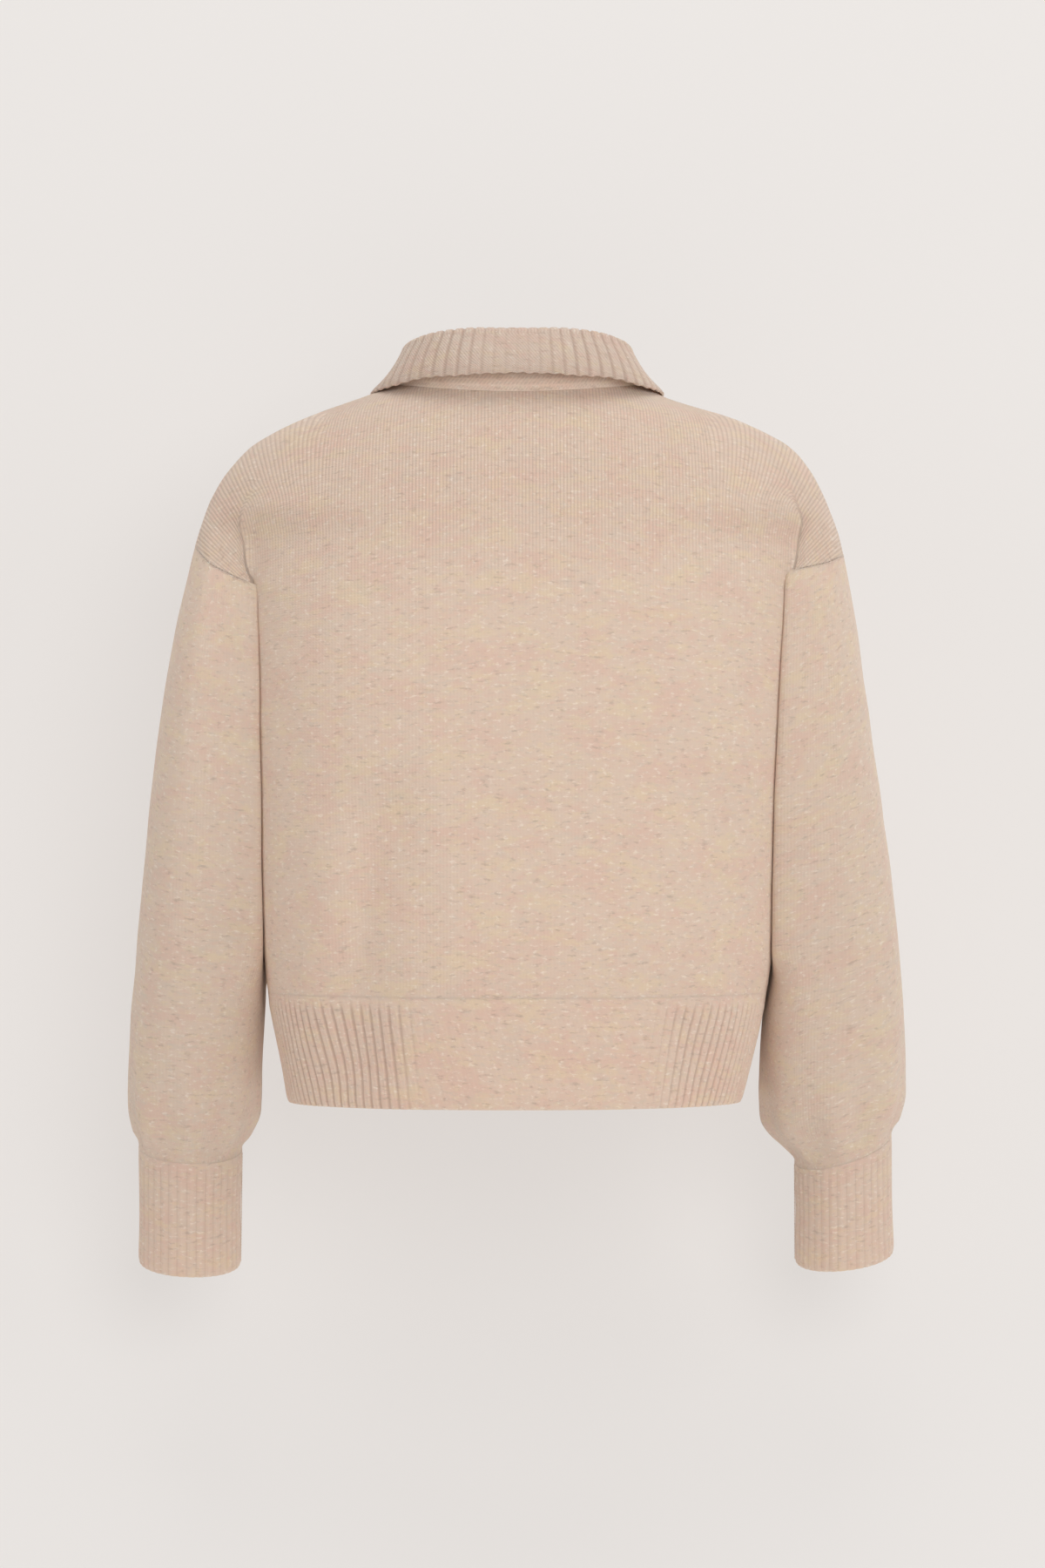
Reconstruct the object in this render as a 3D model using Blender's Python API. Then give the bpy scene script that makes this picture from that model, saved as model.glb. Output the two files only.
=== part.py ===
"""Polo sweater in fine jersey with a ribbed collar, hem and cuffs, filled out as if worn.

Each piece is the cloth that a maker would cut or knit: a thin closed wall whose outer
face follows the garment's form. The front faces -Y, the wearer's left is +X, and the
origin is at the middle of the neck, 5 mm below the inner ends of the shoulders.
Sizes and tables are in millimetres and become metres when a mesh is made.
"""

import bpy
import numpy as np

MM = 0.001
COLLECTION = "polo_sweater"

# Cloth
JERSEY_THICKNESS = 2.0
RIB_THICKNESS = 1.8
RIB_RELIEF = 1.1
SEAM_GAP = 0.5
ARMHOLE_GAP_OPENS_OVER = 15.0
# A corner of a wall whose faces turn less than this counts as flat when the wall is thickened
FLATTEST_CORNER = 0.3
SMOOTH_UP_TO_DEGREES = 50.0

# Heights along the body, from the shoulder at the neck
SHOULDER_NECK = 5.0
SHOULDER_TIP = -113.0
UNDERARM = -252.0
HEM_TOP = -446.0
HEM_BOTTOM = -528.0
BACK_NECK = -4.0
FRONT_NECK_POINT = -140.0
NECK_HALF_WIDTH = 92.0

# Above these heights the rows of a panel bend from level to the line of the neck
BACK_ROWS_BEND = -80.0
FRONT_ROWS_BEND = -284.0

# The armhole seam: its height over the sleeve's outer side, and where it enters the crease
ARMHOLE_TOP = {"left": -113.0, "right": -121.0}
ARMHOLE_CORNER = {"left": -146.0, "right": -135.0}

# The crease between body and sleeve is full at the first height and gone at the second
CREASE_FULL = -113.0
CREASE_GONE = -84.0

# Where the crease lies across a section that has none, as a share of the way to its side
CREASE_SHARE = {"left": 0.73, "right": 0.75}
# The body's form starts to turn into the crease at this share of its half section
CREASE_TURNS_FROM = 0.6
# How quickly the crease's lip dies away over the sleeve's head, as a power
CREASE_LIP_POWER = 4

# Turn round a sleeve: 0 at its outer side, 90 behind, 180 against the body
ARMHOLE_CORNER_TURN = 135.0
OUTER_SQUARE_AT_ARMHOLE = 2.2
INNER_SQUARE_AT_ARMHOLE = 12.0

# A sleeve lies close against the body above the first height, and hangs free below the second
SLEEVE_TOUCHES = -416.0
SLEEVE_FREE = -446.0

# The body's level sections: half widths to each hand, and how far they reach in Y
BODY_COLUMNS = ("height", "left", "right", "back", "front", "side", "square")
BODY = (
    (-528.0, 170.5, 167.0, 99.0, -112.0, -8.0, 2.25),
    (-506.0, 174.0, 172.5, 102.0, -116.0, -8.0, 2.3),
    (-470.0, 181.5, 181.0, 108.0, -123.0, -8.0, 2.35),
    (-446.0, 186.0, 186.0, 112.0, -128.0, -8.0, 2.4),
    (-425.0, 188.5, 189.5, 115.0, -132.0, -8.0, 2.5),
    (-369.0, 194.0, 194.0, 117.0, -135.0, -8.0, 2.65),
    (-310.0, 197.0, 198.0, 117.5, -138.0, -7.0, 2.8),
    (-252.0, 199.0, 201.5, 118.0, -140.0, -6.0, 2.9),
    (-200.0, 200.0, 204.5, 117.5, -140.0, -4.0, 2.9),
    (-143.0, 200.5, 208.0, 114.5, -136.0, -2.0, 2.8),
    (-113.0, 200.0, 207.0, 110.5, -129.0, -1.0, 2.6),
    (-80.0, 198.0, 203.0, 104.0, -117.0, 0.0, 2.4),
    (-57.0, 195.0, 200.0, 97.5, -106.0, 0.0, 2.3),
    (-38.0, 190.0, 195.0, 90.5, -95.0, 0.0, 2.2),
    (-18.0, 157.0, 158.0, 80.5, -80.0, 0.0, 2.2),
    (0.0, 104.0, 103.0, 68.0, -62.0, 0.0, 2.3),
    (5.0, 92.0, 92.0, 65.5, -58.5, 0.0, 2.2),
    (11.0, 66.0, 66.0, 62.0, -54.0, 0.0, 2.1),
)

# The line of the shoulders, seen from behind: half width to each hand
SHOULDER_COLUMNS = ("height", "left", "right")
SHOULDER = (
    (-113.0, 239.3, 240.8),
    (-96.0, 234.2, 235.5),
    (-77.0, 227.0, 228.3),
    (-57.0, 214.3, 217.5),
    (-38.0, 195.2, 199.6),
    (-27.5, 177.0, 180.0),
    (-18.0, 156.0, 157.0),
    (-11.0, 137.0, 133.0),
    (-5.0, 119.0, 114.0),
    (0.0, 106.0, 103.0),
    (5.0, 92.0, 92.0),
    (11.0, 60.0, 60.0),
)

# Level sections of the sleeves: inner and outer sides in X, back and front in Y
SLEEVE_COLUMNS = ("height", "inner", "outer", "back", "front", "outer_square", "inner_square")
LEFT_SLEEVE = (
    (-60.0, 213.0, 216.0, 44.0, -46.0, 2.2, 8.0),
    (-86.0, 211.5, 231.0, 51.0, -53.0, 2.2, 9.0),
    (-113.0, 208.0, 239.3, 57.0, -59.0, 2.2, 10.0),
    (-143.0, 204.0, 246.8, 62.0, -65.0, 2.2, 12.0),
    (-175.0, 202.8, 254.3, 64.0, -68.0, 2.25, 12.0),
    (-213.0, 201.2, 261.3, 64.5, -70.0, 2.3, 12.0),
    (-252.0, 200.3, 267.2, 63.0, -71.0, 2.35, 12.0),
    (-310.0, 198.3, 274.3, 58.0, -72.0, 2.4, 12.0),
    (-369.0, 195.2, 280.4, 48.0, -74.0, 2.4, 10.0),
    (-408.0, 192.0, 284.7, 40.0, -78.0, 2.4, 7.0),
    (-432.0, 190.3, 286.8, 34.0, -81.0, 2.4, 5.0),
    (-467.0, 190.5, 290.6, 24.0, -87.0, 2.4, 3.0),
    (-506.0, 193.7, 292.5, 12.0, -94.0, 2.4, 2.4),
    (-530.0, 195.2, 292.4, 5.0, -98.0, 2.4, 2.3),
    (-548.0, 198.0, 291.0, -2.0, -101.0, 2.3, 2.2),
    (-558.0, 202.0, 289.0, -8.0, -101.0, 2.2, 2.1),
    (-568.0, 208.5, 287.0, -18.0, -97.0, 2.1, 2.1),
    (-590.0, 209.5, 287.0, -24.0, -97.0, 2.1, 2.1),
)
RIGHT_SLEEVE = (
    (-60.0, 216.0, 219.0, 44.0, -46.0, 2.2, 8.0),
    (-86.0, 218.0, 232.5, 51.0, -53.0, 2.2, 9.0),
    (-113.0, 214.5, 240.8, 57.0, -59.0, 2.2, 10.0),
    (-143.0, 210.0, 247.2, 62.0, -65.0, 2.2, 12.0),
    (-175.0, 208.2, 252.8, 64.0, -68.0, 2.25, 12.0),
    (-213.0, 205.5, 258.0, 64.5, -70.0, 2.3, 12.0),
    (-252.0, 202.8, 263.6, 63.0, -71.0, 2.35, 12.0),
    (-310.0, 199.2, 272.4, 58.0, -72.0, 2.4, 12.0),
    (-369.0, 195.2, 280.6, 48.0, -74.0, 2.4, 10.0),
    (-408.0, 192.2, 285.4, 40.0, -78.0, 2.4, 7.0),
    (-432.0, 190.4, 287.8, 34.0, -81.0, 2.4, 5.0),
    (-467.0, 184.8, 290.6, 24.0, -87.0, 2.4, 3.0),
    (-506.0, 183.3, 291.9, 12.0, -94.0, 2.4, 2.4),
    (-530.0, 184.2, 291.2, 5.0, -98.0, 2.4, 2.3),
    (-548.0, 187.0, 288.0, -2.0, -101.0, 2.3, 2.2),
    (-558.0, 192.0, 285.5, -8.0, -101.0, 2.2, 2.1),
    (-570.0, 204.0, 283.5, -18.0, -97.0, 2.1, 2.1),
    (-590.0, 209.5, 283.5, -24.0, -97.0, 2.1, 2.1),
)
SLEEVES = {"left": LEFT_SLEEVE, "right": RIGHT_SLEEVE}

# Cuffs: the middle of each end, half sizes, and the tilt of the ends towards the outside
CUFF_COLUMNS = ("x", "y", "height", "half_width", "half_depth", "outward_tilt")
CUFFS = {
    "left": ((248.0, -58.0, -567.0, 39.0, 38.5, 0.05), (250.0, -79.0, -655.5, 38.6, 36.0, 0.045)),
    "right": ((247.0, -58.0, -567.0, 36.5, 38.5, 0.30), (249.5, -79.0, -650.5, 37.4, 36.0, 0.12)),
}
FOREARM_TILT = 0.235
CUFF_SQUARE = 2.1

# Soft folds of the body: the line each follows, its half width, and its depth (below 0 is a ridge)
FOLD_COLUMNS = ("panel", "top", "x_top", "bottom", "x_bottom", "half_width", "depth")
FOLDS = (
    ("back", -270.0, 92.0, -545.0, 128.0, 26.0, 6.5),
    ("back", -300.0, 132.0, -545.0, 158.0, 16.0, -2.5),
    ("back", -270.0, -148.0, -470.0, -158.0, 15.0, 3.5),
    ("back", -430.0, -118.0, -560.0, -136.0, 22.0, 4.0),
    ("front", -280.0, -96.0, -545.0, -124.0, 26.0, 6.0),
    ("front", -240.0, 112.0, -500.0, 138.0, 20.0, 4.5),
    ("front", -430.0, 60.0, -560.0, 78.0, 22.0, 3.0),
)
FOLD_FADE = 55.0
# A fold presses mostly in Y, with this share of it in X
FOLD_LEAN = 0.45

# Gathers where a sleeve is drawn into its cuff
GATHERS = 8
GATHER_DEPTH = 3.0
GATHER_LENGTH = 58.0
GATHER_START = 12.0
DRAWN_IN_LENGTH = 32.0

# Ribs
HEM_RIBS_PER_HALF = 33
HEM_RIB_SQUEEZE = 0.45
CUFF_RIBS = 36
COLLAR_RIBS = 88

# The neckband and collar by stations along the neck line, from the middle of the back (0) to
# the point of the V (1). Places in the collar's cross-section are out from the neck line and up.
COLLAR_COLUMNS = ("station", "band", "fold_out", "fold_up", "edge_out", "edge_up", "bow")
COLLAR = (
    (0.00, 14.5, -1.0, 46.0, 15.0, 12.6, 3.5),
    (0.10, 13.5, -2.0, 44.6, 15.0, 9.6, 3.0),
    (0.18, 12.0, -5.5, 39.6, 13.5, 5.2, 2.0),
    (0.24, 10.5, -9.5, 33.6, 13.0, -0.2, 0.5),
    (0.29, 9.0, -12.5, 29.4, 13.5, -2.8, -1.5),
    (0.34, 8.0, -14.0, 27.0, 15.5, -4.6, -2.5),
    (0.42, 7.5, -13.5, 25.5, 17.5, -4.2, -1.5),
    (0.55, 6.0, -11.0, 22.5, 22.0, 0.5, 0.0),
    (0.75, 4.5, -5.0, 17.0, 33.0, 4.5, 2.0),
    (0.92, 3.5, 0.5, 13.0, 40.0, 5.0, 2.5),
    (1.00, 3.0, 4.5, 11.5, 44.0, 5.0, 2.0),
)
COLLAR_LAYERS_APART = 6.4
COLLAR_END_CLEARANCE = 9.0
NECKBAND_END_GAP = 0.5
COLLAR_FOLD_TURNS = (180.0, 120.0, 60.0, 10.0)
COLLAR_LEAF_SHARES = (0.5, 1.0)
# The neck pieces stand upright behind, and lean forward along the V between these stations
LEAN_FROM, LEAN_TO = 0.42, 0.80
LEAN_DIRECTION = (0.0, -0.97, 0.22)

# The V neck rises straight from its point, but for this share that curves up at the shoulder
V_CURVE_SHARE = 0.18
V_CURVE_POWER = 6

# Mesh densities
BODY_SPANS = 11
SPAN_CROWDING = 1.15
SLEEVE_TURNS = (
    0.0, 15.0, 30.0, 45.0, 60.0, 75.0, 90.0, 105.0, 120.0, 135.0, 150.0, 165.0, 172.5, 180.0,
)
SLEEVE_RINGS = 17
RING_CROWDING = 1.25
ROWS_BELOW_UNDERARM = (-446.0, -416.0, -384.0, -350.0, -317.0, -284.0)
YOKE_ROWS = (0.14, 0.28, 0.42, 0.55, 0.67, 0.78, 0.88, 0.95, 1.0)
HEM_ROWS = 2
CUFF_ROWS = 2
PATH_SAMPLES = 48
NECK_SAMPLES = 80
NECK_HALVINGS = 30
NECKBAND_STATIONS = 30

HAND_SIGN = {"left": 1.0, "right": -1.0}
OTHER_HAND = {"left": "right", "right": "left"}
PANEL_SIGN = {"back": 1.0, "front": -1.0}


# ---------------------------------------------------------------- reading the tables


def read(table, columns, column, height):
    """One column of a table at any heights, along a smooth curve through its rows."""
    rows = np.array(table)
    rows = rows[np.argsort(rows[:, 0])]
    knots = rows[:, 0]
    values = rows[:, columns.index(column)]
    slopes = np.gradient(values, knots)
    height = np.clip(height, knots[0], knots[-1])
    left = np.clip(np.searchsorted(knots, height) - 1, 0, len(knots) - 2)
    span = knots[left + 1] - knots[left]
    t = (height - knots[left]) / span
    return (
        values[left] * (1 + 2 * t) * (1 - t) ** 2
        + slopes[left] * span * t * (1 - t) ** 2
        + values[left + 1] * t**2 * (3 - 2 * t)
        + slopes[left + 1] * span * t**2 * (t - 1)
    )


def ease(value, start, end):
    """0 up to start and 1 past end, with a smooth step between."""
    t = np.clip((value - start) / (end - start), 0.0, 1.0)
    return t * t * (3.0 - 2.0 * t)


def rounded(value, square):
    """A cosine or sine bent to the outline of a superellipse."""
    return np.sign(value) * np.abs(value) ** (2.0 / square)


def boxed(turn, square):
    """Across and along, from -1 to 1, on the outline of a rounded box at a turn in degrees."""
    angle = np.radians(turn)
    across, along = np.cos(angle), np.sin(angle)
    size = (np.abs(across) ** square + np.abs(along) ** square) ** (1.0 / square)
    return across / size, along / size


# ---------------------------------------------------------------- the body's form


def body_half(hand, height):
    """The body's half width to one hand."""
    return read(BODY, BODY_COLUMNS, hand, height)


def body_side(height):
    """Where the side seams lie in Y."""
    return read(BODY, BODY_COLUMNS, "side", height)


def body_reach(panel, height):
    """How far a panel stands out from the side seams, without its sign."""
    reach = read(BODY, BODY_COLUMNS, panel, height) - body_side(height)
    return PANEL_SIGN[panel] * reach


def body_arc(panel, hand, height, half, turn):
    """The body's section, from the middle of a panel (turn 0) to its side (turn 90)."""
    square = read(BODY, BODY_COLUMNS, "square", height)
    angle = np.radians(turn)
    across = half * rounded(np.sin(angle), square)
    along = body_side(height) + PANEL_SIGN[panel] * body_reach(panel, height) * rounded(
        np.cos(angle), square
    )
    return np.stack([HAND_SIGN[hand] * across, along], axis=-1)


def body_hollow(hand, along, height):
    """How much narrower the body is at a place in Y than at its side."""
    panel_reach = np.where(
        along > body_side(height), body_reach("back", height), body_reach("front", height)
    )
    square = read(BODY, BODY_COLUMNS, "square", height)
    ratio = np.clip(np.abs(along - body_side(height)) / panel_reach, 0.0, 0.9)
    return body_half(hand, height) * (1.0 - (1.0 - ratio**square) ** (1.0 / square))


def sleeve_section(hand, turn, height):
    """A sleeve's form, whose inner side follows the side of the body that it hangs against."""
    table = SLEEVES[hand]
    inner = read(table, SLEEVE_COLUMNS, "inner", height)
    outer = read(table, SLEEVE_COLUMNS, "outer", height)
    back = read(table, SLEEVE_COLUMNS, "back", height)
    front = read(table, SLEEVE_COLUMNS, "front", height)
    outer_square = read(table, SLEEVE_COLUMNS, "outer_square", height)
    inner_square = read(table, SLEEVE_COLUMNS, "inner_square", height)
    square = np.where(np.cos(np.radians(turn)) > 0, outer_square, inner_square)
    across, along = boxed(turn, square)
    along = (back + front) / 2 + (back - front) / 2 * along
    touching = ease(height, SLEEVE_FREE, SLEEVE_TOUCHES)
    hollow = np.where(across < 0, -across * body_hollow(hand, along, height) * touching, 0.0)
    out = (inner + outer) / 2 + (outer - inner) / 2 * across - hollow
    return np.stack([HAND_SIGN[hand] * out, along], axis=-1)


def armhole_turn(hand, height):
    """Where the armhole seam runs round the sleeve at a height, below its corner."""
    corner = ARMHOLE_CORNER[hand]
    drop = np.clip((corner - height) / (corner - UNDERARM), 0.0, 1.0)
    return ARMHOLE_CORNER_TURN + (180.0 - ARMHOLE_CORNER_TURN) * drop


def armhole_height(hand, turn):
    """The height of the armhole seam at a turn round the sleeve: straight down to its corner, as
    seen from behind, then round under the arm."""
    turn = np.abs((turn + 180.0) % 360.0 - 180.0)
    top, corner = ARMHOLE_TOP[hand], ARMHOLE_CORNER[hand]
    upper_turn = np.minimum(turn, ARMHOLE_CORNER_TURN)
    square = np.where(upper_turn < 90.0, OUTER_SQUARE_AT_ARMHOLE, INNER_SQUARE_AT_ARMHOLE)
    end = boxed(ARMHOLE_CORNER_TURN, INNER_SQUARE_AT_ARMHOLE)[0]
    fall = (1.0 - boxed(upper_turn, square)[0]) / (1.0 - end)
    past = np.maximum(turn - ARMHOLE_CORNER_TURN, 0.0) / (180.0 - ARMHOLE_CORNER_TURN)
    return top - (top - corner) * fall - (corner - UNDERARM) * past


def resample(path, fraction):
    """The point at a fraction of the length of each path."""
    steps = np.linalg.norm(np.diff(path, axis=-2), axis=-1)
    length = np.concatenate([np.zeros_like(steps[..., :1]), np.cumsum(steps, axis=-1)], axis=-1)
    target = fraction * length[..., -1]
    index = np.clip((length < target[..., None]).sum(axis=-1) - 1, 0, steps.shape[-1] - 1)
    pick = index[..., None]
    before = np.take_along_axis(length, pick, axis=-1)[..., 0]
    step = np.maximum(np.take_along_axis(steps, pick, axis=-1)[..., 0], 1e-9)
    start = np.take_along_axis(path, pick[..., None], axis=-2)[..., 0, :]
    end = np.take_along_axis(path, pick[..., None] + 1, axis=-2)[..., 0, :]
    return start + (end - start) * ((target - before) / step)[..., None]


def crease_point(panel, hand, level):
    """Where a panel meets the sleeve's form: in the crease, or at the armhole seam below it."""
    point = sleeve_section(hand, PANEL_SIGN[panel] * armhole_turn(hand, level), level)
    corner = ARMHOLE_CORNER[hand]
    opened = ease(level, corner + ARMHOLE_GAP_OPENS_OVER, corner)
    point[..., 0] -= HAND_SIGN[hand] * SEAM_GAP * opened
    return point


def creased_body(panel, hand, height):
    """A panel's level section from its middle, round the body, to the crease or the armhole."""
    along_path = np.linspace(0.0, 1.0, PATH_SAMPLES)
    level = height[..., None]
    meeting = crease_point(panel, hand, level)
    square = read(BODY, BODY_COLUMNS, "square", level)
    reach = body_reach(panel, level)
    ratio = np.clip(PANEL_SIGN[panel] * (meeting[..., 1] - body_side(level)) / reach, 0.0, 1.0)
    last_turn = np.degrees(np.arccos(ratio ** (square / 2.0)))
    arc = body_arc(panel, hand, level, body_half(hand, level), last_turn * along_path)
    return arc + (meeting - arc[..., -1:, :]) * ease(along_path, CREASE_TURNS_FROM, 1.0)[:, None]


def sleeve_head(panel, hand, place, height):
    """A panel's outer face over the sleeve's head: place is 1 at the crease, 2 at the shoulder."""
    past_crease = np.clip(place - 1.0, 0.0, 1.0)
    turn = PANEL_SIGN[panel] * ARMHOLE_CORNER_TURN * (1.0 - past_crease)
    head = sleeve_section(hand, turn, height)
    start = sleeve_section(hand, PANEL_SIGN[panel] * ARMHOLE_CORNER_TURN, height)
    meeting = crease_point(panel, hand, height)
    return head + (meeting - start) * (1.0 - past_crease)[..., None] ** CREASE_LIP_POWER


def plain_path(panel, hand, height):
    """A panel's level section with no crease: below the armholes, and on top of the shoulders."""
    level = height[..., None]
    shoulder = read(SHOULDER, SHOULDER_COLUMNS, hand, level)
    half = np.where(level > SHOULDER_TIP, shoulder, body_half(hand, level))
    return body_arc(panel, hand, level, half, np.linspace(0.0, 90.0, PATH_SAMPLES))


def fold_depth(panel, x, height):
    """How far the folds press a panel in at a place."""
    depth = np.zeros_like(x)
    for row in FOLDS:
        fold = dict(zip(FOLD_COLUMNS, row))
        if fold["panel"] != panel:
            continue
        top, bottom = fold["top"], fold["bottom"]
        down = (height - top) / (bottom - top)
        line = fold["x_top"] + (fold["x_bottom"] - fold["x_top"]) * down
        fade = ease(height, top, top - FOLD_FADE) * ease(height, bottom, bottom + FOLD_FADE)
        depth += fold["depth"] * fade * np.exp(-(((x - line) / fold["half_width"]) ** 2))
    return depth


def panel_point(panel, hand, place, height):
    """A point of a panel's outer face.

    place is 0 in the panel's middle and 1 at the crease, or at the side seam and armhole where
    the panel ends there. On the sleeve's head it runs on from 1 to 2, at the shoulder.
    """
    plain_end = np.where(height > ARMHOLE_CORNER[hand], CREASE_SHARE[hand], 1.0)
    on_plain = np.where(
        place > 1.0, plain_end + (1.0 - plain_end) * (place - 1.0), plain_end * place
    )
    plain = resample(plain_path(panel, hand, height), on_plain)
    body = resample(creased_body(panel, hand, height), np.minimum(place, 1.0))
    head = sleeve_head(panel, hand, place, height)
    creased = np.where(place[..., None] > 1.0, head, body)
    share = 1.0 - ease(height, CREASE_FULL, CREASE_GONE)
    share = np.where(height < UNDERARM, 0.0, share)[..., None]
    point = plain + (creased - plain) * share
    centre = np.stack([np.zeros_like(height), body_side(height)], axis=-1)
    inward = (centre - point) * np.array([FOLD_LEAN, 1.0])
    inward /= np.linalg.norm(inward, axis=-1, keepdims=True)
    point = point + inward * fold_depth(panel, point[..., 0], height)[..., None]
    return np.concatenate([point, height[..., None]], axis=-1)


# ---------------------------------------------------------------- the neck line


def front_neck_slant(x):
    """The height of the V neck at a distance from the middle."""
    out = np.abs(x) / NECK_HALF_WIDTH
    rise = (1.0 - V_CURVE_SHARE) * out + V_CURVE_SHARE * out**V_CURVE_POWER
    return FRONT_NECK_POINT + (SHOULDER_NECK - FRONT_NECK_POINT) * rise


def neck_height(panel, hand, place):
    """The height of a panel's neck edge at a place across it, from 0 to 2."""
    at_crease = CREASE_SHARE[hand]
    across = np.where(
        place > 1.0, at_crease + (1.0 - at_crease) * (place - 1.0), at_crease * place
    )
    if panel == "back":
        return BACK_NECK + (SHOULDER_NECK - BACK_NECK) * np.sin(np.pi / 2 * across) ** 2
    low = np.full_like(place, FRONT_NECK_POINT)
    high = np.full_like(place, SHOULDER_NECK)
    for _ in range(NECK_HALVINGS):
        middle = (low + high) / 2
        x = resample(plain_path(panel, hand, middle), across)[..., 0]
        above = middle > front_neck_slant(x)
        high = np.where(above, middle, high)
        low = np.where(above, low, middle)
    return np.where(place >= 2.0, SHOULDER_NECK, high)


def body_heights(panel, hand, place, rows_of):
    """Heights of a panel's rows between its middle and its crease. Each row is named by its
    height at the crease or side: level up to where rows bend, then ever nearer the neck. In the
    middle the rows of both hands meet halfway."""
    bend = BACK_ROWS_BEND if panel == "back" else FRONT_ROWS_BEND
    neck = neck_height(panel, hand, place)[None, :]
    other = OTHER_HAND[hand]
    others = (1.0 - place[None, :]) / 2
    rows = rows_of(hand)[:, None] * (1.0 - others) + rows_of(other)[:, None] * others
    share = (neck - bend) / (rows[-1:] - bend)
    return np.where(rows <= bend, rows, bend + (rows - bend) * share)


def head_heights(panel, hand, place, rows):
    """Heights of a panel's rows over the sleeve's head, from the armhole seam to the neck."""
    seam = armhole_height(hand, ARMHOLE_CORNER_TURN * (2.0 - place))[None, :]
    neck = neck_height(panel, hand, place)[None, :]
    crease_neck = neck_height(panel, hand, np.ones(1))[0]
    share = (rows - ARMHOLE_CORNER[hand]) / (crease_neck - ARMHOLE_CORNER[hand])
    return seam + (neck - seam) * share[:, None]


# ---------------------------------------------------------------- walls from grids of points


def face_normals(grid, around):
    """Unit normals of a grid of points [row, column]; around says that its columns close up."""
    if around:
        wrapped = np.concatenate([grid[:, -1:], grid, grid[:, :1]], axis=1)
        across = (wrapped[:, 2:] - wrapped[:, :-2]) / 2
    else:
        across = np.gradient(grid, axis=1)
    up = np.gradient(grid, axis=0)
    normal = np.cross(across, up)
    return normal / np.linalg.norm(normal, axis=-1, keepdims=True)


def make_material(name, colour, roughness):
    """A plain cloth finish from a linear colour."""
    material = bpy.data.materials.new(name)
    material.use_nodes = True
    shader = material.node_tree.nodes["Principled BSDF"]
    shader.inputs["Base Color"].default_value = (*colour, 1.0)
    shader.inputs["Roughness"].default_value = roughness
    shader.inputs["Metallic"].default_value = 0.0
    return material


def link_mesh(name, points, faces, material, collection):
    """Makes an object from points in millimetres and faces, smooth but for its sharp edges."""
    mesh = bpy.data.meshes.new(name)
    mesh.from_pydata((points * MM).tolist(), [], faces)
    mesh.validate()
    mesh.materials.append(material)
    mesh.shade_smooth()
    mesh.set_sharp_from_angle(angle=np.radians(SMOOTH_UP_TO_DEGREES))
    piece = bpy.data.objects.new(name, mesh)
    collection.objects.link(piece)
    return piece


def make_wall(name, outer, inner, around, material, collection):
    """A closed wall between an outer grid and an inner grid of points.

    The inner grid has as many columns as the outer one, or one for each rib of it.
    """
    rows, outer_columns = outer.shape[:2]
    inner_rows, inner_columns = inner.shape[:2]
    step = round((outer_columns - (0 if around else 1)) / (inner_columns - (0 if around else 1)))
    points = np.concatenate([outer.reshape(-1, 3), inner.reshape(-1, 3)])
    inner_start = rows * outer_columns

    def out(row, column):
        return row * outer_columns + column % outer_columns

    def back(row, column):
        return inner_start + row * inner_columns + column % inner_columns

    faces = []
    outer_spans = outer_columns if around else outer_columns - 1
    inner_spans = inner_columns if around else inner_columns - 1
    for row in range(rows - 1):
        for column in range(outer_spans):
            corners = ((row, column), (row, column + 1), (row + 1, column + 1), (row + 1, column))
            faces.append([out(*corner) for corner in corners])
    for row in range(inner_rows - 1):
        for column in range(inner_spans):
            corners = ((row, column), (row + 1, column), (row + 1, column + 1), (row, column + 1))
            faces.append([back(*corner) for corner in corners])
    for column in range(inner_spans):
        ribs = [column * step + i for i in range(step + 1)]
        foot = [out(0, i) for i in reversed(ribs)]
        faces.append(foot + [back(0, column), back(0, column + 1)])
        head = [out(rows - 1, i) for i in ribs]
        faces.append(head + [back(inner_rows - 1, column + 1), back(inner_rows - 1, column)])
    if not around:
        last = outer_columns - 1
        for row in range(rows - 1):
            faces.append([out(row, 0), out(row + 1, 0), back(row + 1, 0), back(row, 0)])
            end = [back(row, inner_columns - 1), back(row + 1, inner_columns - 1)]
            faces.append([*end, out(row + 1, last), out(row, last)])

    return link_mesh(name, points, faces, material, collection)


def shorter_cut(points, face):
    """Cuts a four-sided face into two triangles along its shorter diagonal."""
    a, b, c, d = face
    if np.linalg.norm(points[a] - points[c]) < np.linalg.norm(points[b] - points[d]):
        return [[a, b, c], [a, c, d]]
    return [[a, b, d], [b, c, d]]


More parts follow.
